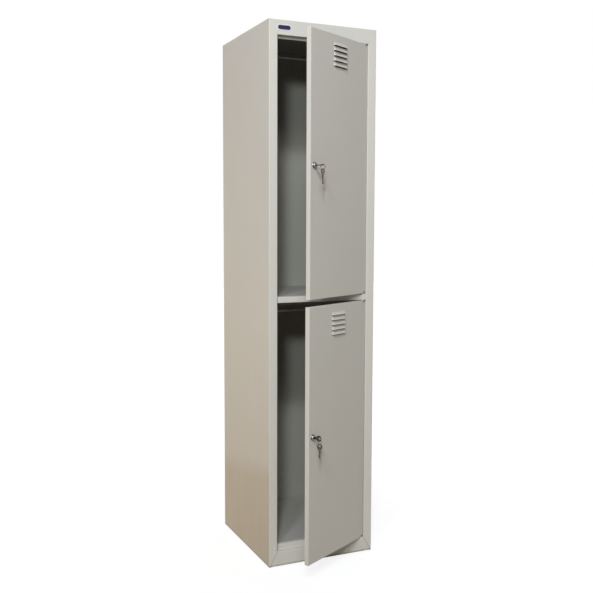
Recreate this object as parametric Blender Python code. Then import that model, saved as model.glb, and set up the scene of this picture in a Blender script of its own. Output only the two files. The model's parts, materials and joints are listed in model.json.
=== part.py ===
"""Two-tier steel clothes locker: folded sheet carcass, louvred doors on pivot pins, keyed cam locks."""

import math

import bmesh
import bpy
from mathutils import Matrix, Vector
from mathutils.geometry import tessellate_polygon

# Overall size of the cabinet with its doors shut, without the glides under it
CABINET_HEIGHT = 1.800
CABINET_WIDTH = 0.390
CABINET_DEPTH = 0.450

# Sheet steel and how it is folded
SHEET = 0.0008
SEAM = 0.0003
MITRE_GAP = 0.0005
FOLD_RADIUS = 0.0020
FOLD_STEPS = 2
RELIEF = 0.004
REAR_FLANGE = 0.015
WELD_FLANGE = 0.012
FOOT_FLANGE = 0.026

# Front frame
STILE_WIDTH = 0.030
TOP_RAIL_HEIGHT = 0.048
MID_RAIL_HEIGHT = 0.020
BOTTOM_RAIL_HEIGHT = 0.050
FRAME_DEPTH = 0.020
STOP_LIP = 0.008
FLOOR_STEP = 0.020

# Glides under the four corners
FOOT_HEIGHT = 0.003
GLIDE_RADIUS = 0.010
GLIDE_EDGE = 0.001
GLIDE_STEM_RADIUS = 0.004
GLIDE_STEM_RISE = 0.005
GLIDE_SETBACK = 0.014
GLIDE_INSET = 0.020

# Hanging rails and the cups that hold them
RAIL_RADIUS = 0.005
RAIL_DROP = 0.069
SOCKET_FLANGE_RADIUS = 0.014
SOCKET_FLANGE = 0.0018
SOCKET_WALL = 0.002
SOCKET_DEPTH = 0.009
SOCKET_FLOOR = 0.001

# Doors, louvres and stiffening channel
DOOR_GAP = 0.002
DOOR_THICKNESS = 0.016
DOOR_EDGE_RADIUS = 0.002
DOOR_EDGE_STEPS = 3
DOOR_HEM = 0.008
UPPER_DOOR_AJAR = math.radians(29.2)
LOWER_DOOR_AJAR = math.radians(28.9)
LOUVRE_COUNT = 5
LOUVRE_LENGTH = 0.075
LOUVRE_HEIGHT = 0.0095
LOUVRE_DEPTH = 0.0045
LOUVRE_SLOT = 0.0022
LOUVRE_PITCH = 0.016
LOUVRE_TOP_MARGIN = 0.0345
LOUVRE_END_SHARES = (1.0, 0.96, 0.88, 0.75)
LOUVRE_ROW_SHARES = (0.35, 0.70, 1.0)
STIFFENER_CROWN = 0.030
STIFFENER_FLANGE = 0.012
STIFFENER_DEPTH = 0.012
STIFFENER_MARGIN = 0.012

# Pivot pins and their bushes
PIVOT_INSET = 0.009
PIVOT_DEPTH = 0.006
PIN_RADIUS = 0.0025
PIN_HEAD_RADIUS = 0.0042
PIN_HEAD = 0.0015
PIN_TIP_CHAMFER = 0.0008
BUSH_WALL = 0.0008
BUSH_TAIL = 0.005
BUSH_FLANGE_RADIUS = 0.0058

# Rubber buffers on the closing side
BUFFER_RADIUS = 0.0027
BUFFER_MARGIN = 0.060

# Cam locks, in order from the front
LOCK_INSET = 0.020
LOCK_HEAD = 0.007
LOCK_HEAD_RADIUS = 0.0085
LOCK_HEAD_TAPER = 0.0008
LOCK_HEAD_ROUND = 0.0010
LOCK_FLANGE_RADIUS = 0.0105
LOCK_FLANGE = 0.0014
LOCK_BARREL_RADIUS = 0.0088
NUT_ACROSS_CORNERS = 0.026
NUT_THICKNESS = 0.0035
PLUG_RADIUS = 0.0055
PLUG_RECESS = 0.0004
PLUG_SHOULDER_RADIUS = 0.0075
PLUG_SHOULDER = 0.0019
TAIL_WIDTH = 0.007
CAM_CLEARANCE = 0.0007
CAM_THICKNESS = 0.002
CAM_REACH = 0.030
CAM_HUB_RADIUS = 0.008
CAM_TIP_RADIUS = 0.005
SCREW_RADIUS = 0.002
SCREW_LENGTH = 0.006
SCREW_HEAD_RADIUS = 0.0045
SCREW_HEAD = 0.0024
SCREW_CROWN_SHARE = 0.6
UPPER_PLUG_TURN = math.radians(90)
LOWER_PLUG_TURN = math.radians(180)

# Keys and rings
KEY_THICKNESS = 0.0018
KEY_WIDTH = 0.007
KEY_BLADE = 0.020
KEY_NECK = 0.008
KEY_TIP_CHAMFER = 0.0025
KEY_BOW_RADIUS = 0.010
KEY_HOLE_RADIUS = 0.004
KEY_WEB = 0.0022
KEY_CUT_PITCH = 0.003
KEY_CUT_DEPTH_SHARES = (0.30, 0.55, 0.40, 0.65, 0.35)
KEY_CUT_WIDTH_SHARE = 0.40
RING_RADIUS = 0.0084
RING_WIRE_RADIUS = 0.0009

# Fineness of round pieces, weld distance and how far a cutter runs past what it cuts
ROUND_STEPS = 24
RING_STEPS = 32
WIRE_STEPS = 8
BOW_STEPS = 28
TIP_STEPS = 8
WELD_DISTANCE = 0.000001
OVERRUN = 0.003
SMOOTH_ANGLE = math.radians(35)

# Heights, measured up from the ground
OPENING_HEIGHT = (CABINET_HEIGHT - BOTTOM_RAIL_HEIGHT - MID_RAIL_HEIGHT - TOP_RAIL_HEIGHT) / 2
BASE_Z = FOOT_HEIGHT
LOWER_OPENING_Z = BASE_Z + BOTTOM_RAIL_HEIGHT
FLOOR_Z = LOWER_OPENING_Z + FLOOR_STEP
MID_RAIL_Z = LOWER_OPENING_Z + OPENING_HEIGHT
UPPER_OPENING_Z = MID_RAIL_Z + MID_RAIL_HEIGHT
TOP_RAIL_Z = UPPER_OPENING_Z + OPENING_HEIGHT
ROOF_Z = BASE_Z + CABINET_HEIGHT

# Places across and into the cabinet, from its left front edge
INNER_LEFT = SHEET + SEAM
INNER_RIGHT = CABINET_WIDTH - INNER_LEFT
OPENING_LEFT = STILE_WIDTH
OPENING_RIGHT = CABINET_WIDTH - STILE_WIDTH
RAIL_LEFT = OPENING_LEFT + MITRE_GAP
RAIL_RIGHT = OPENING_RIGHT - MITRE_GAP
STILE_MITRE_X = FOLD_RADIUS + SEAM
RAIL_MITRE_X = STILE_MITRE_X + MITRE_GAP
BACK_OUTER_Y = CABINET_DEPTH - SHEET - SEAM
REAR_Y = BACK_OUTER_Y - SHEET - SEAM
BEHIND_STOP_Y = FRAME_DEPTH + SHEET + SEAM

# Door and lock sizes that follow from the frame
DOOR_WIDTH = OPENING_RIGHT - OPENING_LEFT - 2 * DOOR_GAP
DOOR_HEIGHT = OPENING_HEIGHT - 2 * DOOR_GAP
PIVOT_X = OPENING_RIGHT - DOOR_GAP - PIVOT_INSET
BUSH_BORE_RADIUS = PIN_RADIUS + SEAM
BUSH_RADIUS = BUSH_BORE_RADIUS + BUSH_WALL
BUSH_FLANGE = DOOR_GAP - 2 * SEAM
CAM_Y = FRAME_DEPTH + SHEET + CAM_CLEARANCE
SHOULDER_BACK_Y = CAM_Y - SEAM
SHOULDER_FRONT_Y = SHOULDER_BACK_Y - PLUG_SHOULDER
BARREL_BACK_Y = SHOULDER_FRONT_Y - SEAM
TAIL_BACK_Y = CAM_Y + CAM_THICKNESS
PLUG_FACE_Y = PLUG_RECESS - LOCK_HEAD

# Key outline, measured out from the face of the plug
BOW_CENTRE = KEY_NECK + math.sqrt(KEY_BOW_RADIUS ** 2 - (KEY_WIDTH / 2) ** 2)
BOW_END = BOW_CENTRE + KEY_BOW_RADIUS
KEY_HOLE_CENTRE = BOW_END - KEY_WEB - KEY_HOLE_RADIUS
WIRE_SEAT = KEY_HOLE_RADIUS - RING_WIRE_RADIUS - SEAM
WEB_CENTRE = BOW_END - KEY_WEB / 2
WEB_REACH = math.hypot(KEY_WEB, KEY_THICKNESS) / 2
RING_HANG_ON_WEB = RING_RADIUS - RING_WIRE_RADIUS - WEB_REACH - SEAM

OUTWARD = Vector((0, -1, 0))


def clear_scene():
    """Remove every object that the file opened with."""
    for old in list(bpy.data.objects):
        bpy.data.objects.remove(old, do_unlink=True)


def material(name, colour, roughness, metallic):
    """Return a plain Principled material, made once for each name."""
    found = bpy.data.materials.get(name)
    if found:
        return found
    made = bpy.data.materials.new(name)
    made.use_nodes = True
    shader = made.node_tree.nodes["Principled BSDF"]
    shader.inputs["Base Color"].default_value = (*colour, 1)
    shader.inputs["Roughness"].default_value = roughness
    shader.inputs["Metallic"].default_value = metallic
    return made


def carcass_paint():
    return material("carcass_paint", (0.61, 0.60, 0.56), 0.45, 0)


def door_paint():
    return material("door_paint", (0.58, 0.57, 0.53), 0.45, 0)


def bright_chrome():
    return material("bright_chrome", (0.80, 0.80, 0.80), 0.12, 1)


def zinc_plate():
    return material("zinc_plate", (0.62, 0.62, 0.60), 0.35, 1)


def key_nickel():
    return material("key_nickel", (0.55, 0.52, 0.46), 0.30, 1)


def white_nylon():
    return material("white_nylon", (0.80, 0.79, 0.75), 0.50, 0)


def black_rubber():
    return material("black_rubber", (0.03, 0.03, 0.03), 0.80, 0)


def add_object(name, mesh, finish, parent):
    """Link a mesh as a named object under its parent."""
    piece = bpy.data.objects.new(name, mesh)
    bpy.context.scene.collection.objects.link(piece)
    if not mesh.materials:
        mesh.materials.append(finish)
    piece.parent = parent
    return piece


def add_empty(name, location, parent=None, rotation=None):
    """An empty that carries pieces, with its origin on their axis."""
    empty = bpy.data.objects.new(name, None)
    bpy.context.scene.collection.objects.link(empty)
    empty.parent = parent
    turn = rotation or Matrix.Identity(4)
    empty.matrix_local = Matrix.Translation(location) @ turn
    return empty


def mesh_from(bm, name, smooth=False):
    """Turn a bmesh into a mesh, shaded smooth where the piece is round."""
    mesh = bpy.data.meshes.new(name)
    bm.to_mesh(mesh)
    bm.free()
    if smooth:
        mesh.shade_smooth()
        mesh.set_sharp_from_angle(angle=SMOOTH_ANGLE)
    return mesh


def closed_mesh(name, points, faces, smooth=False):
    """A closed body from points and faces, with its faces turned outwards."""
    bm = bmesh.new()
    verts = [bm.verts.new(point) for point in points]
    for face in faces:
        bm.faces.new([verts[i] for i in face])
    bmesh.ops.recalc_face_normals(bm, faces=bm.faces)
    return mesh_from(bm, name, smooth)


def sheet_mesh(name, panels, facing):
    """Join flat panels along their shared edges; the first one faces the given way."""
    bm = bmesh.new()
    for panel in panels:
        bm.faces.new([bm.verts.new(point) for point in panel])
    bmesh.ops.remove_doubles(bm, verts=bm.verts, dist=WELD_DISTANCE)
    bmesh.ops.recalc_face_normals(bm, faces=bm.faces)
    bm.faces.ensure_lookup_table()
    if bm.faces[0].normal.dot(Vector(facing)) < 0:
        bmesh.ops.reverse_faces(bm, faces=bm.faces)
    return mesh_from(bm, name)


def add_thickness(piece):
    """Give a sheet its thickness, on the side away from its outer face."""
    wall = piece.modifiers.new("sheet_thickness", "SOLIDIFY")
    wall.thickness = SHEET
    wall.offset = -1
    wall.use_even_offset = True


def folded_sheet(name, panels, facing, finish, parent):
    """A folded sheet part, from panels drawn on its outer faces."""
    piece = add_object(name, sheet_mesh(name, panels, facing), finish, parent)
    fold = piece.modifiers.new("fold_radius", "BEVEL")
    fold.width = FOLD_RADIUS
    fold.segments = FOLD_STEPS
    fold.limit_method = "ANGLE"
    fold.use_clamp_overlap = False
    add_thickness(piece)
    return piece


def turned_mesh(name, profile, axis, steps=ROUND_STEPS, closed=False):
    """Turn a profile of (radius, height) points about an axis; a closed one is a ring with a bore."""
    along = Vector(axis).normalized()
    across = along.orthogonal().normalized()
    aside = along.cross(across)
    points = []
    rings = []
    for radius, height in profile:
        ring = []
        count = steps if radius > 0 else 1
        for i in range(count):
            angle = 2 * math.pi * i / steps
            spoke = across * math.cos(angle) + aside * math.sin(angle)
            ring.append(len(points))
            points.append(along * height + spoke * radius)
        rings.append(ring)
    pairs = list(zip(rings, rings[1:]))
    if closed:
        pairs.append((rings[-1], rings[0]))
    faces = []
    for low, high in pairs:
        for i in range(steps):
            j = (i + 1) % steps
            corners = [low[i % len(low)], low[j % len(low)], high[j % len(high)], high[i % len(high)]]
            faces.append(list(dict.fromkeys(corners)))
    return closed_mesh(name, points, faces, smooth=True)


def plate_mesh(name, loops, thickness, across, up, through, smooth=False):
    """A flat plate from an outline and its holes, centred on its thickness."""
    flat = [point for loop in loops for point in loop]
    count = len(flat)
    points = []
    for side in (-thickness / 2, thickness / 2):
        points += [across * a + up * b + through * side for a, b in flat]
    faces = []
    for triangle in tessellate_polygon([[Vector((a, b, 0)) for a, b in loop] for loop in loops]):
        faces.append(list(triangle))
        faces.append([i + count for i in reversed(triangle)])
    start = 0
    for loop in loops:
        for i in range(len(loop)):
            a = start + i
            b = start + (i + 1) % len(loop)
            faces.append([a, b, b + count, a + count])
        start += len(loop)
    return closed_mesh(name, points, faces, smooth)


def circle(centre, radius, steps, start=0.0, sweep=2 * math.pi, whole=True):
    """Points on a circle or an arc, in a plate's own two directions."""
    last = steps if whole else steps + 1
    angles = [start + sweep * i / steps for i in range(last)]
    return [(centre[0] + radius * math.cos(t), centre[1] + radius * math.sin(t)) for t in angles]


def add_cutter(target, mesh, parent):
    """Cut a hidden shape out of a piece."""
    cutter = add_object(target.name + "_cutter", mesh, zinc_plate(), parent)
    cutter.hide_render = True
    cutter.display_type = "WIRE"
    cut = target.modifiers.new("cut", "BOOLEAN")
    cut.operation = "DIFFERENCE"
    cut.solver = "EXACT"
    cut.object = cutter
    return cutter


def cutter_cylinder(name, radius, low, high, axis):
    """A plain round cutter between two heights on its axis."""
    return turned_mesh(name, [(0, low), (radius, low), (radius, high), (0, high)], axis)


def flanged_edge(start, end, fold, drop, into):
    """A weld flange folded off an edge, with its free corners cut back."""
    along = (Vector(end) - Vector(start)).normalized() * RELIEF
    down = Vector(fold) * drop
    return [start, end, Vector(end) - along + down, Vector(start) + along + down] + list(into)


def side_panel(name, mirrored, parent):
    """Side, stile, door jamb, stop lips, rear flange and foot flange folded from one sheet."""
    foot_start = FOLD_RADIUS + RELIEF
    foot_end = REAR_Y - RELIEF
    lip_x = STILE_WIDTH + STOP_LIP
    side = [(0, 0, BASE_Z), (0, foot_start, BASE_Z), (0, foot_end, BASE_Z), (0, CABINET_DEPTH, BASE_Z),
            (0, CABINET_DEPTH, ROOF_Z), (0, 0, ROOF_Z)]
    foot = [(0, foot_start, BASE_Z), (0, foot_end, BASE_Z),
            (FOOT_FLANGE, foot_end, BASE_Z), (FOOT_FLANGE, foot_start, BASE_Z)]
    rear = [(0, CABINET_DEPTH, BASE_Z), (0, CABINET_DEPTH, ROOF_Z),
            (REAR_FLANGE, CABINET_DEPTH, ROOF_Z), (REAR_FLANGE, CABINET_DEPTH, BASE_Z)]
    stile = [(0, 0, BASE_Z), (0, 0, ROOF_Z), (STILE_MITRE_X, 0, ROOF_Z), (STILE_WIDTH, 0, TOP_RAIL_Z),
             (STILE_WIDTH, 0, LOWER_OPENING_Z), (STILE_MITRE_X, 0, BASE_Z)]
    jamb_front = [(STILE_WIDTH, 0, LOWER_OPENING_Z), (STILE_WIDTH, 0, TOP_RAIL_Z)]
    jamb_back = [(STILE_WIDTH, FRAME_DEPTH, TOP_RAIL_Z), (STILE_WIDTH, FRAME_DEPTH, LOWER_OPENING_Z)]
    panels = [side, foot, rear, stile]
    if not mirrored:
        lower_lip = (FLOOR_Z + SEAM, MID_RAIL_Z)
        upper_lip = (UPPER_OPENING_Z + SEAM, TOP_RAIL_Z)
        seams = [(STILE_WIDTH, FRAME_DEPTH, z) for z in (upper_lip[0], lower_lip[1], lower_lip[0])]
        jamb_back = [jamb_back[0], *seams, jamb_back[1]]
        for low, high in (lower_lip, upper_lip):
            panels.append([(STILE_WIDTH, FRAME_DEPTH, low), (STILE_WIDTH, FRAME_DEPTH, high),
                           (lip_x, FRAME_DEPTH, high - STOP_LIP), (lip_x, FRAME_DEPTH, low)])
    panels.append(jamb_front + jamb_back)
    facing = (-1, 0, 0)
    if mirrored:
        panels = [[(CABINET_WIDTH - x, y, z) for x, y, z in panel] for panel in panels]
        facing = (1, 0, 0)
    piece = folded_sheet(name, panels, facing, carcass_paint(), parent)
    for y in (GLIDE_INSET, CABINET_DEPTH - GLIDE_INSET):
        x = CABINET_WIDTH - GLIDE_SETBACK if mirrored else GLIDE_SETBACK
        hole = cutter_cylinder("glide_hole", GLIDE_STEM_RADIUS + SEAM, -OVERRUN, OVERRUN, (0, 0, 1))
        add_cutter(piece, hole, parent).location = (x, y, BASE_Z)
    return piece


def weld_flanges(z, front_y):
    """Side and rear flanges turned down from a level sheet, and the corners they leave on it."""
    side_back = REAR_Y - RELIEF
    down = (0, 0, -1)
    corners = [(INNER_RIGHT, front_y, z), (INNER_RIGHT, side_back, z), (INNER_RIGHT - RELIEF, REAR_Y, z),
               (INNER_LEFT + RELIEF, REAR_Y, z), (INNER_LEFT, side_back, z), (INNER_LEFT, front_y, z)]
    flanges = [flanged_edge(corners[0], corners[1], down, WELD_FLANGE, ()),
               flanged_edge(corners[2], corners[3], down, REAR_FLANGE, ()),
               flanged_edge(corners[4], corners[5], down, WELD_FLANGE, ())]
    return corners, flanges


def rail_with_stop(z):
    """The underside and the stop lip that hang behind a rail's lower edge."""
    under = [(RAIL_LEFT, 0, z), (RAIL_RIGHT, 0, z), (RAIL_RIGHT, FRAME_DEPTH, z), (RAIL_LEFT, FRAME_DEPTH, z)]
    lip = [(RAIL_LEFT, FRAME_DEPTH, z), (RAIL_RIGHT, FRAME_DEPTH, z),
           (RAIL_RIGHT, FRAME_DEPTH, z - STOP_LIP), (RAIL_LEFT + STOP_LIP, FRAME_DEPTH, z - STOP_LIP)]
    return [under, lip]


def cut_bush_hole(piece, z, parent):
    """A hole for a hinge bush on the pivot axis, through the sheet at this height."""
    hole = cutter_cylinder("bush_hole", BUSH_RADIUS + SEAM, -OVERRUN, OVERRUN, (0, 0, 1))
    add_cutter(piece, hole, parent).location = (PIVOT_X, PIVOT_DEPTH, z)


def roof_panel(parent):
    """Roof, mitred top rail, its underside and stop lip, and the weld flanges."""
    corner_y = FOLD_RADIUS + SEAM
    right = CABINET_WIDTH - RAIL_MITRE_X
    corners, flanges = weld_flanges(ROOF_Z, corner_y)
    top = [(RAIL_MITRE_X, 0, ROOF_Z), (right, 0, ROOF_Z), (right, corner_y, ROOF_Z), *corners,
           (RAIL_MITRE_X, corner_y, ROOF_Z)]
    rail = [(RAIL_MITRE_X, 0, ROOF_Z), (right, 0, ROOF_Z), (RAIL_RIGHT, 0, TOP_RAIL_Z), (RAIL_LEFT, 0, TOP_RAIL_Z)]
    panels = [top, rail, *rail_with_stop(TOP_RAIL_Z), *flanges]
    piece = folded_sheet("roof_panel", panels, (0, 0, 1), carcass_paint(), parent)
    cut_bush_hole(piece, TOP_RAIL_Z, parent)


def mid_shelf(parent):
    """Shelf sheet that folds down into the middle rail and its stop lip."""
    z = UPPER_OPENING_Z
    corners, flanges = weld_flanges(z, BEHIND_STOP_Y)
    top = [(RAIL_LEFT, 0, z), (RAIL_RIGHT, 0, z), (RAIL_RIGHT, BEHIND_STOP_Y, z), *corners,
           (RAIL_LEFT, BEHIND_STOP_Y, z)]
    rail = [(RAIL_LEFT, 0, z), (RAIL_RIGHT, 0, z), (RAIL_RIGHT, 0, MID_RAIL_Z), (RAIL_LEFT, 0, MID_RAIL_Z)]
    panels = [top, rail, *rail_with_stop(MID_RAIL_Z), *flanges]
    piece = folded_sheet("mid_shelf", panels, (0, 0, 1), carcass_paint(), parent)
    cut_bush_hole(piece, UPPER_OPENING_Z, parent)
    cut_bush_hole(piece, MID_RAIL_Z, parent)


def floor_panel(parent):
    """Floor sheet of the lower compartment, lapped on the bottom rail's flange."""
    corners, flanges = weld_flanges(FLOOR_Z, FRAME_DEPTH + SEAM)
    folded_sheet("floor_panel", [corners, *flanges], (0, 0, 1), carcass_paint(), parent)


def bottom_rail(parent):
    """Mitred bottom rail with its step, stop face and the flange under the floor."""
    right = CABINET_WIDTH - RAIL_MITRE_X
    foot_left = FOOT_FLANGE + SEAM
    foot_right = CABINET_WIDTH - foot_left
    lap_z = FLOOR_Z - SHEET - SEAM
    lap_y = FRAME_DEPTH + WELD_FLANGE
    z = LOWER_OPENING_Z
    face = [(RAIL_MITRE_X, 0, BASE_Z), (foot_left, 0, BASE_Z), (foot_right, 0, BASE_Z), (right, 0, BASE_Z),
            (RAIL_RIGHT, 0, z), (RAIL_LEFT, 0, z)]
    foot = [(foot_left, 0, BASE_Z), (foot_right, 0, BASE_Z),
            (foot_right, WELD_FLANGE, BASE_Z), (foot_left, WELD_FLANGE, BASE_Z)]
    step = [(RAIL_LEFT, 0, z), (RAIL_RIGHT, 0, z), (RAIL_RIGHT, FRAME_DEPTH, z), (RAIL_LEFT, FRAME_DEPTH, z)]
    stop = [(RAIL_LEFT, FRAME_DEPTH, z), (RAIL_RIGHT, FRAME_DEPTH, z),
            (RAIL_RIGHT, FRAME_DEPTH, lap_z), (RAIL_LEFT, FRAME_DEPTH, lap_z)]
    lap = [(RAIL_LEFT, FRAME_DEPTH, lap_z), (RAIL_RIGHT, FRAME_DEPTH, lap_z),
           (RAIL_RIGHT, lap_y, lap_z), (RAIL_LEFT, lap_y, lap_z)]
    piece = folded_sheet("bottom_rail", [face, foot, step, stop, lap], (0, -1, 0), carcass_paint(), parent)
    cut_bush_hole(piece, z, parent)


def back_panel(parent):
    """Flat back sheet, held inside the side panels' rear flanges."""
    y = BACK_OUTER_Y
    left = FOLD_RADIUS
    right = CABINET_WIDTH - FOLD_RADIUS
    sheet = [(left, y, BASE_Z), (right, y, BASE_Z), (right, y, ROOF_Z), (left, y, ROOF_Z)]
    piece = add_object("back_panel", sheet_mesh("back_panel", [sheet], (0, 1, 0)), carcass_paint(), parent)
    add_thickness(piece)


def glides(parent):
    """Four plastic glides pressed up into the foot flanges."""
    top = FOOT_HEIGHT - SEAM
    stem_top = FOOT_HEIGHT + GLIDE_STEM_RISE
    profile = [(0, 0), (GLIDE_RADIUS - GLIDE_EDGE, 0), (GLIDE_RADIUS, GLIDE_EDGE), (GLIDE_RADIUS, top),
               (GLIDE_STEM_RADIUS, top), (GLIDE_STEM_RADIUS, stem_top - GLIDE_EDGE),
               (GLIDE_STEM_RADIUS - GLIDE_EDGE, stem_top), (0, stem_top)]
    mesh = turned_mesh("glide", profile, (0, 0, 1))
    across = {"left": GLIDE_SETBACK, "right": CABINET_WIDTH - GLIDE_SETBACK}
    into = {"front": GLIDE_INSET, "rear": CABINET_DEPTH - GLIDE_INSET}
    for end, y in into.items():
        for side, x in across.items():
            glide = add_object("glide_" + end + "_" + side, mesh, black_rubber(), parent)
            glide.location = (x, y, 0)


def hanging_rail(tier, sheet_z, parent):
    """A rail across a compartment and the two cups that hold its ends."""
    seat = INNER_LEFT + SOCKET_FLOOR + SEAM
    y = CABINET_DEPTH / 2
    z = sheet_z - RAIL_DROP
    bore = RAIL_RADIUS + SEAM
    cup = bore + SOCKET_WALL
    rod = [(0, seat), (RAIL_RADIUS, seat), (RAIL_RADIUS, CABINET_WIDTH - seat), (0, CABINET_WIDTH - seat)]
    rail = add_object(tier + "_hanging_rail", turned_mesh("rail", rod, (1, 0, 0)), zinc_plate(), parent)
    rail.location = (0, y, z)
    profile = [(0, 0), (SOCKET_FLANGE_RADIUS, 0), (SOCKET_FLANGE_RADIUS, SOCKET_FLANGE), (cup, SOCKET_FLANGE),
               (cup, SOCKET_DEPTH), (bore, SOCKET_DEPTH), (bore, SOCKET_FLOOR), (0, SOCKET_FLOOR)]
    for side, x, axis in (("left", INNER_LEFT, (1, 0, 0)), ("right", INNER_RIGHT, (-1, 0, 0))):
        mesh = turned_mesh("rail_socket", profile, axis)
        socket = add_object(tier + "_rail_socket_" + side, mesh, zinc_plate(), parent)
        socket.location = (x, y, z)


def hinge_bush(name, z, into, parent):
    """Nylon bush through a rail's sheet; its flange fills the gap that the door turns in."""
    flange_top = -SEAM
    flange_low = flange_top - BUSH_FLANGE
    tail = SHEET + BUSH_TAIL
    profile = [(BUSH_BORE_RADIUS, flange_low), (BUSH_FLANGE_RADIUS, flange_low), (BUSH_FLANGE_RADIUS, flange_top),
               (BUSH_RADIUS, flange_top), (BUSH_RADIUS, tail), (BUSH_BORE_RADIUS, tail)]
    mesh = turned_mesh(name, profile, (0, 0, into), closed=True)
    add_object(name, mesh, white_nylon(), parent).location = (PIVOT_X, PIVOT_DEPTH, z)


def door_buffers(tier, opening_z, parent):
    """Two rubber buffers on the stop lip of the closing side."""
    thickness = FRAME_DEPTH - DOOR_THICKNESS - 2 * SEAM
    edge = BUFFER_RADIUS * math.sin(math.radians(45))
    profile = [(0, 0), (BUFFER_RADIUS, 0), (BUFFER_RADIUS, thickness / 2), (edge, thickness), (0, thickness)]
    mesh = turned_mesh("door_buffer", profile, (0, -1, 0), steps=ROUND_STEPS // 2)
    x = STILE_WIDTH + (FOLD_RADIUS + STOP_LIP) / 2
    heights = {"bottom": opening_z + FLOOR_STEP + BUFFER_MARGIN,
               "top": opening_z + OPENING_HEIGHT - BUFFER_MARGIN}
    for end, z in heights.items():
        buffer = add_object(tier + "_buffer_" + end, mesh, black_rubber(), parent)
        buffer.location = (x, FRAME_DEPTH - SEAM, z)


def louvre_swell(from_centre, above_lip):
    """How far a louvre stands out, from shares of its half length and of its height."""
    flat = LOUVRE_END_SHARES[-1]
    end = max(0.0, (abs(from_centre) - flat) / (1 - flat))
    return LOUVRE_DEPTH * math.sqrt(max(0.0, 1 - end ** 2)) * math.cos(above_lip * math.pi / 2)


def door_columns():
    """Stations across the door's face, each with its share of the louvre's half length."""
    half = LOUVRE_LENGTH / 2
    centre = DOOR_WIDTH / 2
    shares = [-s for s in LOUVRE_END_SHARES] + list(reversed(LOUVRE_END_SHARES))
    inner = [(centre + half * s, s) for s in shares]
    return [(DOOR_EDGE_RADIUS, None), *inner, (DOOR_WIDTH - DOOR_EDGE_RADIUS, None)]


def door_rows():
    """Stations up the door's face, each with its share of a louvre's height; slots open below a lip."""
    rows = [(DOOR_EDGE_RADIUS, None, False)]
    for k in reversed(range(LOUVRE_COUNT)):
        lip = DOOR_HEIGHT - LOUVRE_TOP_MARGIN - k * LOUVRE_PITCH
        rows.append((lip - LOUVRE_SLOT, None, True))
        rows.append((lip, 0.0, False))
        rows += [(lip + LOUVRE_HEIGHT * share, share, False) for share in LOUVRE_ROW_SHARES]
    rows.append((DOOR_HEIGHT - DOOR_EDGE_RADIUS, None, False))
    return rows


def edge_rings():
    """Inset and depth of each ring from the flat face, round the edge and on to the hem."""
    rings = []
    for i in range(1, DOOR_EDGE_STEPS + 1):
        turn = math.pi / 2 * i / DOOR_EDGE_STEPS
        rings.append((DOOR_EDGE_RADIUS * (1 - math.sin(turn)), DOOR_EDGE_RADIUS * (1 - math.cos(turn))))
    return rings + [(0, DOOR_THICKNESS), (DOOR_HEM, DOOR_THICKNESS)]


def door_point(from_hinge, depth, height):
    """A point of the door, in the frame whose origin is on the pivot axis at the door's foot."""
    return Vector((PIVOT_INSET - from_hinge, depth - PIVOT_DEPTH, height))


def door_panel_mesh():
    """One sheet: louvred face, rounded edges, returns and hems."""
    columns = door_columns()
    rows = door_rows()
    bm = bmesh.new()
    grid = []
    for height, above, _ in rows:
        line = []
        for across, share in columns:
            out = 0 if above is None or share is None else louvre_swell(share, above)
            line.append(bm.verts.new(door_point(across, -out, height)))
        grid.append(line)
    last_column = len(columns) - 1
    last_row = len(rows) - 1
    for j in range(last_row):
        for i in range(last_column):
            slot = rows[j][2] and columns[i][1] is not None and columns[i + 1][1] is not None
            if not slot:
                bm.faces.new([grid[j][i], grid[j][i + 1], grid[j + 1][i + 1], grid[j + 1][i]])
    border = [(i, 0) for i in range(last_column)] + [(last_column, j) for j in range(last_row)]
    border += [(i, last_row) for i in range(last_column, 0, -1)] + [(0, j) for j in range(last_row, 0, -1)]
    ring = [grid[j][i] for i, j in border]
    for inset, depth in edge_rings():
        outer = []
        for i, j in border:
            across = columns[i][0]
            height = rows[j][0]
            across = {0: inset, last_column: DOOR_WIDTH - inset}.get(i, across)
            height = {0: inset, last_row: DOOR_HEIGHT - inset}.get(j, height)
            outer.append(bm.verts.new(door_point(across, depth, height)))
        for k in range(len(ring)):
            n = (k + 1) % len(ring)
            bm.faces.new([ring[k], ring[n], outer[n], outer[k]])
        ring = outer
    bmesh.ops.recalc_face_normals(bm, faces=bm.faces)
    bm.faces.ensure_lookup_table()
    if bm.faces[0].normal.dot(OUTWARD) < 0:
        bmesh.ops.reverse_faces(bm, faces=bm.faces)
    return mesh_from(bm, "door_panel")


def door_panel(tier, pivot):
    """The louvred pan with its pin holes and lock hole."""
    shared = bpy.data.meshes.get("door_panel") or door_panel_mesh()
    piece = add_object(tier + "_door_panel", shared, door_paint(), pivot)
    add_thickness(piece)
    pin_hole = cutter_cylinder("pin_hole", PIN_RADIUS + SEAM, -OVERRUN, DOOR_HEIGHT + OVERRUN, (0, 0, 1))
    add_cutter(piece, pin_hole, pivot)
    lock_hole = cutter_cylinder("lock_hole", LOCK_BARREL_RADIUS + SEAM, -OVERRUN, OVERRUN, (0, 1, 0))
    add_cutter(piece, lock_hole, pivot).location = lock_centre()


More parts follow.
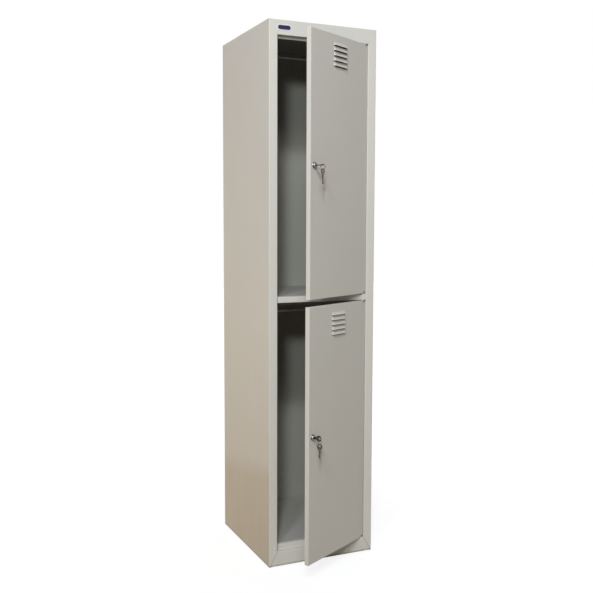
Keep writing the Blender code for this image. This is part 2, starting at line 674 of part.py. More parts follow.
def door_stiffener(tier, pivot):
    """Hat channel spot-welded up the inside of the door, below the louvres."""
    skin = SHEET + SEAM + SHEET
    crown_y = skin + STIFFENER_DEPTH
    louvres = LOUVRE_TOP_MARGIN + (LOUVRE_COUNT - 1) * LOUVRE_PITCH + LOUVRE_SLOT
    low = STIFFENER_MARGIN
    high = DOOR_HEIGHT - louvres - STIFFENER_MARGIN
    centre = DOOR_WIDTH / 2
    half = STIFFENER_CROWN / 2
    path = [(centre - half - STIFFENER_FLANGE, skin), (centre - half, skin), (centre - half, crown_y),
            (centre + half, crown_y), (centre + half, skin), (centre + half + STIFFENER_FLANGE, skin)]
    panels = []
    for start, end in zip(path, path[1:]):
        panels.append([door_point(*start, low), door_point(*end, low), door_point(*end, high),
                       door_point(*start, high)])
    folded_sheet(tier + "_door_stiffener", panels, (0, 1, 0), door_paint(), pivot)


def door_pin(name, height, away, pivot):
    """Shouldered pin, riveted through the door's return and running in a bush."""
    seat = -SHEET - SEAM
    tip = DOOR_GAP + SHEET + BUSH_TAIL
    profile = [(0, seat - PIN_HEAD), (PIN_HEAD_RADIUS, seat - PIN_HEAD), (PIN_HEAD_RADIUS, seat),
               (PIN_RADIUS, seat), (PIN_RADIUS, tip - PIN_TIP_CHAMFER), (PIN_RADIUS - PIN_TIP_CHAMFER, tip),
               (0, tip)]
    pin = add_object(name, turned_mesh(name, profile, (0, 0, away)), zinc_plate(), pivot)
    pin.location = (0, 0, height)


def lock_centre():
    """The lock's axis where it meets the door's outer face, in the door's frame."""
    return door_point(DOOR_WIDTH - LOCK_INSET, 0, DOOR_HEIGHT / 2)


def lock_barrel(tier, axis):
    """Chromed lock body: stepped head outside, plain barrel through the door, bore for the plug."""
    bore = PLUG_RADIUS + SEAM
    collar = -SEAM - LOCK_FLANGE
    round_over = LOCK_HEAD_ROUND
    face_radius = LOCK_HEAD_RADIUS - LOCK_HEAD_TAPER
    profile = [(bore, -LOCK_HEAD), (face_radius - round_over, -LOCK_HEAD), (face_radius, -LOCK_HEAD + round_over),
               (LOCK_HEAD_RADIUS, collar), (LOCK_FLANGE_RADIUS - round_over / 2, collar),
               (LOCK_FLANGE_RADIUS, collar + round_over / 2), (LOCK_FLANGE_RADIUS, -SEAM),
               (LOCK_BARREL_RADIUS, -SEAM), (LOCK_BARREL_RADIUS, BARREL_BACK_Y), (bore, BARREL_BACK_Y)]
    mesh = turned_mesh(tier + "_lock_barrel", profile, (0, 1, 0), closed=True)
    add_object(tier + "_lock_barrel", mesh, bright_chrome(), axis)


def lock_nut(tier, axis):
    """Hexagon nut that clamps the barrel from inside the door."""
    hexagon = circle((0, 0), NUT_ACROSS_CORNERS / 2, 6)
    bore = circle((0, 0), LOCK_BARREL_RADIUS + SEAM, ROUND_STEPS)
    mesh = plate_mesh("lock_nut", [hexagon, bore], NUT_THICKNESS, Vector((1, 0, 0)), Vector((0, 0, 1)), OUTWARD)
    nut = add_object(tier + "_lock_nut", mesh, zinc_plate(), axis)
    nut.location = (0, SHEET + SEAM + NUT_THICKNESS / 2, 0)


def square_ring(half, steps):
    """Points on a square at even angles, so that it joins a circle point for point."""
    points = []
    for i in range(steps):
        angle = 2 * math.pi * i / steps
        reach = half / max(abs(math.cos(angle)), abs(math.sin(angle)))
        points.append((reach * math.cos(angle), reach * math.sin(angle)))
    return points


def lock_plug(tier, turning):
    """Keyed plug: round body, drive shoulder and square tail, with the keyway and the screw hole."""
    def disc(radius):
        return circle((0, 0), radius, ROUND_STEPS)
    square = square_ring(TAIL_WIDTH / 2, ROUND_STEPS)
    sections = [(disc(PLUG_RADIUS), PLUG_FACE_Y), (disc(PLUG_RADIUS), SHOULDER_FRONT_Y),
                (disc(PLUG_SHOULDER_RADIUS), SHOULDER_FRONT_Y), (disc(PLUG_SHOULDER_RADIUS), SHOULDER_BACK_Y),
                (square, SHOULDER_BACK_Y), (square, TAIL_BACK_Y)]
    points = [Vector((a, y, b)) for outline, y in sections for a, b in outline]
    faces = []
    for k in range(len(sections) - 1):
        for i in range(ROUND_STEPS):
            j = (i + 1) % ROUND_STEPS
            low = k * ROUND_STEPS
            high = low + ROUND_STEPS
            faces.append([low + i, low + j, high + j, high + i])
    last = (len(sections) - 1) * ROUND_STEPS
    faces.append(list(range(ROUND_STEPS)))
    faces.append(list(range(last, last + ROUND_STEPS)))
    mesh = closed_mesh(tier + "_lock_plug", points, faces, smooth=True)
    plug = add_object(tier + "_lock_plug", mesh, bright_chrome(), turning)
    half_slot = KEY_THICKNESS / 2 + SEAM
    half_way = KEY_WIDTH / 2 + SEAM
    slot = [(-half_slot, -half_way), (half_slot, -half_way), (half_slot, half_way), (-half_slot, half_way)]
    front = PLUG_FACE_Y - OVERRUN
    depth = PLUG_FACE_Y + KEY_BLADE + SEAM
    keyway = plate_mesh("keyway", [slot], depth - front, Vector((1, 0, 0)), Vector((0, 0, 1)), OUTWARD)
    add_cutter(plug, keyway, turning).location = (0, (front + depth) / 2, 0)
    tap = cutter_cylinder("screw_hole", SCREW_RADIUS + SEAM, TAIL_BACK_Y - SCREW_LENGTH, TAIL_BACK_Y + OVERRUN,
                          (0, 1, 0))
    add_cutter(plug, tap, turning)


def lock_cam(tier, turning):
    """Cam plate with a rounded tip and a square hole, pointing to the closing edge when locked."""
    tip_x = CAM_TIP_RADIUS - CAM_REACH
    lean = math.acos((CAM_HUB_RADIUS - CAM_TIP_RADIUS) / -tip_x)
    hub = circle((0, 0), CAM_HUB_RADIUS, ROUND_STEPS, start=lean - math.pi, sweep=2 * (math.pi - lean), whole=False)
    tip = circle((tip_x, 0), CAM_TIP_RADIUS, TIP_STEPS, start=math.pi - lean, sweep=2 * lean, whole=False)
    half = TAIL_WIDTH / 2 + SEAM
    hole = [(-half, -half), (half, -half), (half, half), (-half, half)]
    mesh = plate_mesh("lock_cam", [hub + tip, hole], CAM_THICKNESS, Vector((1, 0, 0)), Vector((0, 0, 1)), OUTWARD)
    cam = add_object(tier + "_lock_cam", mesh, zinc_plate(), turning)
    cam.location = (0, CAM_Y + CAM_THICKNESS / 2, 0)


def cam_screw(tier, turning):
    """Pan-head screw that holds the cam on the plug's tail."""
    seat = TAIL_BACK_Y + SEAM
    tip = TAIL_BACK_Y - SCREW_LENGTH + SEAM
    crown = seat + SCREW_HEAD
    profile = [(0, tip), (SCREW_RADIUS, tip), (SCREW_RADIUS, seat), (SCREW_HEAD_RADIUS, seat),
               (SCREW_HEAD_RADIUS, seat + SCREW_HEAD / 2), (SCREW_HEAD_RADIUS * SCREW_CROWN_SHARE, crown),
               (0, crown)]
    add_object(tier + "_cam_screw", turned_mesh("cam_screw", profile, (0, 1, 0)), zinc_plate(), turning)


def key_outline():
    """Blade with its cuts, neck and round bow, running out from the plug's face."""
    half = KEY_WIDTH / 2
    chamfer = KEY_TIP_CHAMFER
    tip = -KEY_BLADE
    outline = [(KEY_NECK, -half), (tip + chamfer, -half), (tip, -half + chamfer), (tip, half - chamfer),
               (tip + chamfer, half)]
    reach = KEY_CUT_PITCH * KEY_CUT_WIDTH_SHARE
    for k, share in enumerate(KEY_CUT_DEPTH_SHARES):
        cut = tip + chamfer + KEY_CUT_PITCH * (k + 0.5)
        outline += [(cut - reach, half), (cut, half - half * share), (cut + reach, half)]
    meet = math.asin(half / KEY_BOW_RADIUS)
    bow = circle((BOW_CENTRE, 0), KEY_BOW_RADIUS, BOW_STEPS, start=math.pi - meet, sweep=-2 * (math.pi - meet),
                 whole=False)
    return outline + bow[:-1]


def key_mesh(name, out, up):
    """A cut key, its blade behind and its bow ahead along the first direction."""
    hole = circle((KEY_HOLE_CENTRE, 0), KEY_HOLE_RADIUS, ROUND_STEPS)
    return plate_mesh(name, [key_outline(), hole], KEY_THICKNESS, out, up, out.cross(up))


def ring_mesh(name, normal):
    """Round wire ring, centred on its own middle."""
    circle_section = circle((RING_RADIUS, 0), RING_WIRE_RADIUS, WIRE_STEPS)
    return turned_mesh(name, circle_section, normal, steps=RING_STEPS, closed=True)


def key_set(tier, turning, turn):
    """Key in the lock, the ring that hangs from it and the spare key on the ring."""
    across = Vector((1, 0, 0))
    up = Vector((0, 0, 1))
    key = add_object(tier + "_key", key_mesh(tier + "_key", OUTWARD, up), key_nickel(), turning)
    key.location = (0, PLUG_FACE_Y - SEAM, 0)
    level = abs(math.sin(turn)) > abs(math.cos(turn))
    if level:
        hook = OUTWARD * WEB_CENTRE
        drop = RING_HANG_ON_WEB
        ring_normal = across
        spare_face = across
    else:
        lift = Matrix.Rotation(-turn, 4, OUTWARD) @ (up * -WIRE_SEAT)
        hook = OUTWARD * KEY_HOLE_CENTRE + lift
        drop = RING_RADIUS
        ring_normal = OUTWARD
        spare_face = OUTWARD
    upright = Matrix.Rotation(-turn, 4, OUTWARD)
    ring_pivot = add_empty(tier + "_key_ring_pivot", hook, key, upright)
    ring = add_object(tier + "_key_ring", ring_mesh(tier + "_key_ring", ring_normal), zinc_plate(), ring_pivot)
    ring.location = up * -drop
    spare_pivot = add_empty(tier + "_spare_key_pivot", up * -(drop + RING_RADIUS), ring_pivot)
    spare = add_object(tier + "_spare_key", key_mesh(tier + "_spare_key", up, spare_face), key_nickel(), spare_pivot)
    spare.location = up * -(KEY_HOLE_CENTRE + WIRE_SEAT)


def door(tier, opening_z, ajar, plug_turn, carcass):
    """A door and all that it carries, hung on its pivot and standing ajar."""
    foot = Vector((PIVOT_X, PIVOT_DEPTH, opening_z + DOOR_GAP))
    pivot = add_empty(tier + "_door_pivot", foot, carcass, Matrix.Rotation(ajar, 4, "Z"))
    door_panel(tier, pivot)
    door_stiffener(tier, pivot)
    door_pin(tier + "_door_top_pin", DOOR_HEIGHT, 1, pivot)
    door_pin(tier + "_door_bottom_pin", 0, -1, pivot)
    lock = add_empty(tier + "_lock_axis", lock_centre(), pivot)
    lock_barrel(tier, lock)
    lock_nut(tier, lock)
    turning = add_empty(tier + "_plug_axis", (0, 0, 0), lock, Matrix.Rotation(plug_turn, 4, OUTWARD))
    lock_plug(tier, turning)
    lock_cam(tier, turning)
    cam_screw(tier, turning)
    key_set(tier, turning, plug_turn)


def build_carcass(carcass):
    """Everything that stays still."""
    side_panel("left_side_panel", False, carcass)
    side_panel("right_side_panel", True, carcass)
    back_panel(carcass)
    roof_panel(carcass)
    mid_shelf(carcass)
    floor_panel(carcass)
    bottom_rail(carcass)
    glides(carcass)
    hanging_rail("upper", ROOF_Z, carcass)
    hanging_rail("lower", UPPER_OPENING_Z, carcass)
    hinge_bush("upper_door_top_bush", TOP_RAIL_Z, 1, carcass)
    hinge_bush("upper_door_bottom_bush", UPPER_OPENING_Z, -1, carcass)
    hinge_bush("lower_door_top_bush", MID_RAIL_Z, 1, carcass)
    hinge_bush("lower_door_bottom_bush", LOWER_OPENING_Z, -1, carcass)
    door_buffers("upper", UPPER_OPENING_Z, carcass)
    door_buffers("lower", LOWER_OPENING_Z, carcass)


def centre_on_base(carcass):
    """Move the whole locker so that the middle of its base, doors ajar, is the origin."""
    bpy.context.view_layer.update()
    graph = bpy.context.evaluated_depsgraph_get()
    corners = []
    for piece in bpy.data.objects:
        if piece.type == "MESH" and not piece.hide_render:
            solid = piece.evaluated_get(graph)
            mesh = solid.to_mesh()
            corners += [solid.matrix_world @ vertex.co for vertex in mesh.vertices]
            solid.to_mesh_clear()
    low = Vector([min(c[i] for c in corners) for i in range(3)])
    high = Vector([max(c[i] for c in corners) for i in range(3)])
    carcass.location = (-(low.x + high.x) / 2, -(low.y + high.y) / 2, -low.z)
    bpy.context.view_layer.update()


def main():
    clear_scene()
    carcass = add_empty("carcass", (0, 0, 0))
    build_carcass(carcass)
    door("upper", UPPER_OPENING_Z, UPPER_DOOR_AJAR, UPPER_PLUG_TURN, carcass)
    door("lower", LOWER_OPENING_Z, LOWER_DOOR_AJAR, LOWER_PLUG_TURN, carcass)
    centre_on_base(carcass)


if __name__ == "__main__":
    main()
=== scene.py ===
"""Finished looks of a two-tier steel clothes locker: coated sheet, pressed louvres, cam locks with keys."""
import json
import math

import bmesh
import bpy
from bpy.props import FloatProperty, FloatVectorProperty, IntProperty, PointerProperty
from bpy.types import Operator, Panel, PropertyGroup
from mathutils import Matrix, Vector
from mathutils.geometry import tessellate_polygon


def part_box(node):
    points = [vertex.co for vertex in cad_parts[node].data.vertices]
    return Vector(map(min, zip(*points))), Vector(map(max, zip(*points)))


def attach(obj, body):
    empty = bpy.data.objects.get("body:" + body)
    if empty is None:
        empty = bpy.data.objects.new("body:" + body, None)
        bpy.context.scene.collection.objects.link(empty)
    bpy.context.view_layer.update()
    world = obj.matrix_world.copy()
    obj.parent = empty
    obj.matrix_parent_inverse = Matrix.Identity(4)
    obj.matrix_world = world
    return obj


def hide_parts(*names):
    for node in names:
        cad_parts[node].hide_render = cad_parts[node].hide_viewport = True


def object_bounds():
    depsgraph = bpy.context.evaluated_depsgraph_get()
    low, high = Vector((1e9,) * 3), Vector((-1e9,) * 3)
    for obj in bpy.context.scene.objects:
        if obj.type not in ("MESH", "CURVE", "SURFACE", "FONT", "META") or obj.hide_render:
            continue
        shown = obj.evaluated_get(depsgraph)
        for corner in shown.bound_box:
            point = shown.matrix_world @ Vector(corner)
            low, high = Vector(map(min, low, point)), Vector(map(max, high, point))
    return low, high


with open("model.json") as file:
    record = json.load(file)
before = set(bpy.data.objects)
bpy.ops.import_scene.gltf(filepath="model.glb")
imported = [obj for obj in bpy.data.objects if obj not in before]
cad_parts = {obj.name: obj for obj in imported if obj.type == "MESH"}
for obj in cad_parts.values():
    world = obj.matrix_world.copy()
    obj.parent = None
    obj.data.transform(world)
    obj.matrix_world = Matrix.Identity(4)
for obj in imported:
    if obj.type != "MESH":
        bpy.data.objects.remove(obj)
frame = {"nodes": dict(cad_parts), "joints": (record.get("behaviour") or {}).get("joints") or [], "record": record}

bl_info = {
    "name": "Clothes Locker Dresser",
    "version": (1, 0, 0),
    "blender": (4, 5, 0),
    "location": "3D View > Sidebar > Locker",
    "description": "Dresses a two-tier steel clothes locker with finished pieces, paint, metals and studio",
    "category": "Object",
}

CAD_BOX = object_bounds()
JOINTS = {joint["name"]: joint for joint in frame["joints"]}
BODY_OF = {node: body for body, nodes in frame["record"]["behaviour"]["bodies"].items() for node in nodes}
SLOT_OF = {part["node"]: part["material_slot"] for part in frame["record"]["subparts"]}
TIERS = ("upper", "lower")
LEVEL_TIER = "upper"
MM = 0.001
ACROSS = Vector((1, 0, 0))
OUT = Vector((0, -1, 0))
UP = Vector((0, 0, 1))
HERE = Matrix.Identity(4)
SAME_POINT = 0.0005 * MM
SAME_CAD_POINT = 0.002 * MM
SAME_SEAM_POINT = 0.01 * MM


def turn(degrees, axis):
    return Matrix.Rotation(math.radians(degrees), 4, axis)


Z_TO_Y = turn(-90, "X")
Z_TO_FRONT = turn(90, "X")
Z_TO = {"X": turn(90, "Y"), "-X": turn(-90, "Y"), "-Y": Z_TO_FRONT, "Z": HERE, "-Z": turn(180, "X")}


def frame_on(origin, out):
    """A frame on a door: X towards the hinge, Y into the door, Z up."""
    into = -Vector(out).normalized()
    return Matrix.Translation(Vector(origin)) @ Matrix((into.cross(UP), into, UP)).transposed().to_4x4()


def door_frame(tier):
    """The door's frame, with its origin on the pivot axis at the door's foot."""
    hinge = JOINTS[tier + "_door_hinge"]["pos_m"]
    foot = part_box(tier + "_door_panel")[0].z
    return frame_on((hinge[0], hinge[1], foot), JOINTS[tier + "_lock_turn"]["axis"])


def lock_frame(tier):
    """The lock's frame, with its origin on the lock's axis at the door's outer face."""
    lock = JOINTS[tier + "_lock_turn"]
    return frame_on(lock["pos_m"], lock["axis"])


def local_box(node, place):
    """Lowest and highest corner of a CAD node, measured in a frame."""
    back = place.inverted()
    columns = list(zip(*(back @ vertex.co for vertex in frame["nodes"][node].data.vertices)))
    return Vector([min(column) for column in columns]), Vector([max(column) for column in columns])


DOOR_LOW, DOOR_HIGH = local_box("upper_door_panel", door_frame("upper"))
LOCK_ON_DOOR = door_frame("upper").inverted() @ lock_frame("upper").translation
DOOR_FACE = LOCK_ON_DOOR.y
CARCASS_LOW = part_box("left_side_panel")[0]
CARCASS_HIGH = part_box("right_side_panel")[1]

# Sizes of the carcass's folds, where its marks lie
HALF_SHEET = 0.4 * MM
STILE = 30 * MM
STOP_LIP = 8 * MM
MIDDLE_RAIL_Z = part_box("mid_shelf")[0].z + STOP_LIP
MITRE_START = 2.55 * MM
MITRE_END = 30.25 * MM
MITRE_RISE = 50 * MM

# Holes in the door's pan, and what passes through them
LOCK_HOLE = 9.1 * MM
THREAD_RADIUS = 8.8 * MM
PIN_BORE = 2.8 * MM
PIN_SHANK = 2.5 * MM


# Sizes and colours that a user would change

def colour_setting(name, description, default):
    return FloatVectorProperty(name=name, description=description, default=default, min=0, max=1,
                               subtype="COLOR")


def length_setting(name, description, default, least=0.0):
    return FloatProperty(name=name, description=description, default=default, min=least, subtype="DISTANCE",
                         unit="LENGTH")


def share_setting(name, description, default):
    return FloatProperty(name=name, description=description, default=default, min=0, max=1, subtype="FACTOR")


def power_setting(name, description, default):
    return FloatProperty(name=name, description=description, default=default, min=0, subtype="POWER",
                         unit="POWER")


class LockerPaint(PropertyGroup):
    """Paint on the sheet steel."""
    carcass: colour_setting("Carcass", "Powder coat on the carcass", (0.588, 0.568, 0.524))
    door: colour_setting("Doors", "Powder coat on the doors", (0.581, 0.553, 0.508))
    # This tint stands partly for painted warm light from the floor low on the outer sides, and it also colours the
    # painted floor reflection band.
    dust_and_painted_light: colour_setting("Dust", "Dust and scuffing towards the floor", (0.480, 0.415, 0.325))
    dust_and_light_height: length_setting("Dust height", "Height at which the dust has faded out", 1250 * MM)
    # Painted shade: this tone darkens the carcass's interior faces, standing in for the shade within the cabinet.
    inside: share_setting("Inside", "Tone of the thin coat inside against the coat outside", 0.64)
    gloss: share_setting("Roughness", "Roughness of the coat", 0.42)
    grain: length_setting("Grain", "Width of the orange-peel grain", 1.6 * MM, 0.2 * MM)


class LockerMetals(PropertyGroup):
    """Bright metals, nylon, rubber and the small plate."""
    # Painted reflection: the lock's plating colour is kept dark to stand in for the dark surroundings that it
    # reflects.
    chrome_dark_reflection: colour_setting("Chrome", "Plating of the lock", (0.17, 0.167, 0.162))
    wire: colour_setting("Wire", "Dull wire of the key rings", (0.10, 0.096, 0.09))
    zinc: colour_setting("Zinc", "Plating of the rails, cams and pins", (0.70, 0.70, 0.68))
    tarnish: colour_setting("Tarnish", "Film on the zinc where it has yellowed", (0.50, 0.47, 0.36))
    nickel: colour_setting("Nickel", "Plating of the keys", (0.060, 0.056, 0.050))
    brass: colour_setting("Brass", "Brass under worn plating", (0.25, 0.19, 0.13))
    nylon: colour_setting("Nylon", "Hinge bushes", (0.80, 0.79, 0.75))
    rubber: colour_setting("Rubber", "Glides and door buffers", (0.030, 0.030, 0.032))
    enamel: colour_setting("Enamel", "Field of the small plate", (0.028, 0.026, 0.065))
    border: colour_setting("Border", "Border of the small plate", (0.66, 0.66, 0.69))


class LockerDoors(PropertyGroup):
    """Louvred door pans."""
    sheet: length_setting("Sheet", "Thickness of the sheet steel", 0.8 * MM, 0.3 * MM)
    edge: length_setting("Edge radius", "Radius of the folded edges", 2.0 * MM, 0.8 * MM)
    hem: length_setting("Hem", "Width of the hem behind the door", 8.0 * MM, 2 * MM)
    louvres: IntProperty(name="Louvres", description="Louvres in each door", min=1, default=5)
    length: length_setting("Louvre length", "Length of a louvre", 75 * MM, 10 * MM)
    height: length_setting("Louvre height", "Height of a louvre's hood", 8.8 * MM, 2 * MM)
    depth: length_setting("Louvre depth", "How far a hood stands out", 6.0 * MM, 1 * MM)
    slot: length_setting("Louvre slot", "Opening under a hood's lip", 3.0 * MM, 0.5 * MM)
    pitch: length_setting("Louvre pitch", "From one louvre to the next", 16 * MM, 12 * MM)
    margin: length_setting("Top margin", "From the door's top to the first louvre's lip", 34.5 * MM, 15 * MM)
    relief: length_setting("Corner relief", "Height of the hole in a hinge-side corner", 6.0 * MM, 1 * MM)
    weld_pitch: length_setting("Weld pitch", "From one spot weld to the next", 70 * MM, 20 * MM)
    weld_radius: length_setting("Weld radius", "Radius of a spot weld's mark", 2.4 * MM, 1 * MM)


class LockerPlate(PropertyGroup):
    """Small bare plate on the top rail."""
    width: length_setting("Width", "Width over the border", 49 * MM, 10 * MM)
    height: length_setting("Height", "Height over the border", 18.5 * MM, 5 * MM)
    border: length_setting("Border", "Width of the border", 2.4 * MM, 0.5 * MM)
    thickness: length_setting("Thickness", "How far the plate stands out", 0.9 * MM, 0.3 * MM)
    across: length_setting("Across", "Plate's middle from the locker's left side", 53 * MM)
    drop: length_setting("Drop", "Plate's middle below the locker's top", 24.3 * MM)


class LockerStudio(PropertyGroup):
    """Camera, lamps and floor."""
    focal: FloatProperty(name="Focal length", description="In millimetres, on a frame 36 mm wide", min=1,
                         default=50.04)
    broad: power_setting("Broad lamp", "Power of the broad lamp, high on the left", 54)
    front: power_setting("Front lamp", "Power of the broad lamp, high in front", 44)
    high: power_setting("High lamp", "Power of the small high lamp over the camera", 62)
    level: power_setting("Level lamp", "Power of the small lamp beside the camera", 39.5)
    bounce: power_setting("Bounce", "Power of the warm light off the ground on the left", 13)
    rear: power_setting("Rear lamp", "Power of the broad lamp behind, for views of the back", 75)
    surround: FloatProperty(name="Surround", description="Strength of the light from all round", min=0,
                            default=0.06)
    floor: colour_setting("Floor", "Colour that the floor throws back", (0.62, 0.56, 0.48))


SETTINGS = {"locker_paint": LockerPaint, "locker_metals": LockerMetals, "locker_doors": LockerDoors,
            "locker_plate": LockerPlate, "locker_studio": LockerStudio}


# Node trees written as Python expressions

class Signal:
    """An output that Python arithmetic carries on from with Math nodes."""

    def __init__(self, board, socket):
        self.board = board
        self.socket = socket

    def __add__(self, other):
        return self.board.maths("ADD", self, other)

    def __radd__(self, other):
        return self.board.maths("ADD", other, self)

    def __sub__(self, other):
        return self.board.maths("SUBTRACT", self, other)

    def __rsub__(self, other):
        return self.board.maths("SUBTRACT", other, self)

    def __mul__(self, other):
        return self.board.maths("MULTIPLY", self, other)

    def __rmul__(self, other):
        return self.board.maths("MULTIPLY", other, self)


class Board:
    """Adds nodes to one tree: each by its type, what feeds it, the output that is wanted and its settings."""

    def __init__(self, tree):
        self.tree = tree

    def node(self, kind, inputs, output=0, **settings):
        made = self.tree.nodes.new(kind)
        for name, value in settings.items():
            if name == "stops":
                for element, position in zip(made.color_ramp.elements, value):
                    element.position = position
            else:
                setattr(made, name, value)
        for key, value in inputs.items():
            self.feed(made.inputs[key], value)
        return Signal(self, made.outputs[output])

    def feed(self, socket, value):
        if isinstance(value, Signal):
            self.tree.links.new(value.socket, socket)
        else:
            socket.default_value = value

    def maths(self, operation, first, second=0.0):
        return self.node("ShaderNodeMath", {0: first, 1: second}, operation=operation)


class Finish(Board):
    """A material on Object coordinates, with its Principled shader at hand."""

    def __init__(self, name, constants):
        self.material = bpy.data.materials.new(name)
        self.material.use_nodes = True
        super().__init__(self.material.node_tree)
        self.shader = self.tree.nodes["Principled BSDF"]
        for socket, value in constants.items():
            self.feed(self.shader.inputs[socket], value)
        self.place = self.node("ShaderNodeTexCoord", {}, "Object")

    def axis(self, name):
        return self.node("ShaderNodeSeparateXYZ", {0: self.place}, name)

    def level(self, name):
        """What marked() wrote on the piece's points."""
        return self.node("ShaderNodeAttribute", {}, "Fac", attribute_name=name)

    def noise(self, width, detail=2.0, stretch=None):
        """Noise whose features are about as wide as given, drawn out along an axis if asked."""
        place = self.place
        if stretch:
            place = self.node("ShaderNodeMapping", {"Vector": place, "Scale": stretch})
        return self.node("ShaderNodeTexNoise", {"Vector": place, "Scale": 1 / width, "Detail": detail}, "Fac")

    def ramp(self, value, low, high):
        """0 up to one mark and 1 past another, straight between them."""
        return self.node("ShaderNodeValToRGB", {"Fac": value}, stops=(low, high))

    def span(self, value, low, high, start=0.0, end=1.0):
        """Ease from one level to another as a value runs between two marks."""
        marks = {"Value": value, "From Min": low, "From Max": high, "To Min": start, "To Max": end}
        return self.node("ShaderNodeMapRange", marks, interpolation_type="SMOOTHSTEP")

    def fade(self, value, low, high):
        return self.span(value, low, high, 1.0, 0.0)

    def mix(self, share, first, second):
        """A colour between two, each one a signal or plain."""
        first, second = [c if isinstance(c, Signal) else (*c, 1.0) for c in (first, second)]
        return self.node("ShaderNodeMix", {0: share, 6: first, 7: second}, 2, data_type="RGBA")

    def colour(self, value, tone):
        """Feed the base colour, a signal or plain, scaled by a tone."""
        scaled = self.node("ShaderNodeVectorMath", {0: value, "Scale": tone}, operation="SCALE")
        self.feed(self.shader.inputs["Base Color"], scaled)

    def dressed(self, colour, tone, roughness, relief, depth, strength):
        """The material, with its colour, its roughness and the relief of its surface fed in."""
        self.colour(colour, tone)
        self.feed(self.shader.inputs["Roughness"], roughness)
        bump = self.node("ShaderNodeBump", {"Strength": strength, "Distance": depth, "Height": relief})
        self.feed(self.shader.inputs["Normal"], bump)
        return self.material


def carcass_marks(coat, paint):
    """Tone of the carcass, its share of the dusty tint and its painted floor reflection band: painted shade on the
    interior faces, under the middle rail and along the base, dirty seams, and less of the tint on the front.
    """
    skin = (HALF_SHEET, HALF_SHEET * 1.2)
    behind_jamb = (24 * MM, 30 * MM)
    seam_width = (0.4 * MM, 1.1 * MM)
    lip_front = (10 * MM, 12 * MM)
    lip_back = (50 * MM, 60 * MM)
    lip_edge = 0.2 * MM
    stile_edge = 0.5 * MM
    foot_shade_height = (3 * MM, 8 * MM)
    reflection_band_front = 335 * MM
    reflection_band_edge = 40 * MM
    reflection_band_fall = 0.18
    reflection_band_share = 0.45
    front_dust_and_light_share = 0.12
    seam_dark_share = 0.55
    lip_shade_share = 0.75
    foot_shade_share = 0.4

    x, y, z = [coat.axis(name) for name in "XYZ"]
    middle = (CARCASS_LOW.x + CARCASS_HIGH.x) / 2
    inward = (CARCASS_HIGH.x - middle) - coat.maths("ABSOLUTE", x - middle)
    behind = y - CARCASS_LOW.y
    above = z - CARCASS_LOW.z
    # Painted shade: the interior faces, from just behind the jambs, are darkened as the shade within the cabinet.
    inside = 1.0
    for depth in (inward, CARCASS_HIGH.y - y, CARCASS_HIGH.z - z, above):
        inside = coat.span(depth, *skin) * inside
    inside = inside * coat.span(behind, *behind_jamb)

    slant = (MITRE_END - MITRE_START) / MITRE_RISE
    off_mitre = coat.maths("ABSOLUTE", inward - MITRE_START - above * slant)
    seam = coat.fade(off_mitre, *seam_width) * coat.fade(above, MITRE_RISE, MITRE_RISE + HALF_SHEET)
    seam = seam * coat.fade(behind, *skin)

    # Painted shade: the stop lip hanging below the middle rail, between the stiles, is darkened as the shadow the
    # rail casts on it.
    over_rail = z - MIDDLE_RAIL_Z
    lip = coat.span(over_rail, -STOP_LIP - lip_edge, -STOP_LIP + lip_edge)
    lip = lip * coat.fade(over_rail, 0.0, HALF_SHEET) * coat.span(behind, *lip_front)
    lip = lip * coat.fade(behind, *lip_back) * coat.span(inward, STILE, STILE + stile_edge)

    # Painted shade: a band a few millimetres high along the carcass's base is darkened as the shadow gap at the
    # floor.
    foot = coat.fade(above, *foot_shade_height)
    tone = (1 - inside * (1 - paint.inside)) * (1 - seam * seam_dark_share)
    tone = tone * (1 - lip * lip_shade_share) * (1 - foot * foot_shade_share)

    outside = coat.maths("MINIMUM", inward, CARCASS_HIGH.y - y)
    # Painted reflection: on the outer skin, below a line that falls towards the back, a soft band takes more of
    # the dusty tint, standing in for the floor's reflection in the side.
    over_reflection_band = z - (reflection_band_front - behind * reflection_band_fall)
    floor_reflection_band = coat.span(over_reflection_band, -reflection_band_edge, reflection_band_edge, reflection_band_share, 0.0)
    floor_reflection_band = floor_reflection_band * coat.fade(outside, *skin)
    # The share of the dusty tint: full on the outer sides and back, small on the front, nil on the interior faces;
    # on the sides it is partly painted warm light from the floor.
    return tone, coat.span(outside, *skin, 1.0, front_dust_and_light_share) * (1 - inside), floor_reflection_band


def powder_coat(name, colour, paint, carcass=False):
    """Satin powder coat: fine orange peel, faint clouding, and a dusty tint towards the floor that is part
    dusting, part painted warm light from the floor.
    """
    coat = Finish(name, {"Specular IOR Level": 0.20, "Coat Weight": 0.0})
    peel = coat.noise(paint.grain, 1.0)
    cloud = coat.noise(260 * MM, 3.0)
    fleck = coat.noise(0.7 * MM, 0.0)
    smear = coat.noise(90 * MM, 4.0, stretch=(1.0, 1.0, 0.25))
    rub = coat.noise(45 * MM, 5.0, stretch=(1.0, 1.0, 0.15))
    # On the carcass: the painted shade tone, the share of the dusty tint and the painted floor reflection band.
    tone, bare, floor_reflection_band = carcass_marks(coat, paint) if carcass else (1.0, 0.25, 0.0)
    low = coat.span(coat.axis("Z"), 0.0, paint.dust_and_light_height, 0.5, 0.0)
    dust_and_painted_light = (low * bare + floor_reflection_band) * (0.75 + smear * 0.5)
    return coat.dressed(colour=coat.mix(dust_and_painted_light, colour, paint.dust_and_painted_light),
                        tone=(0.965 + cloud * 0.05 + fleck * 0.02) * tone,
                        roughness=paint.gloss - 0.05 + rub * 0.08 + dust_and_painted_light * 0.10,
                        relief=peel, depth=0.12 * MM, strength=0.35)


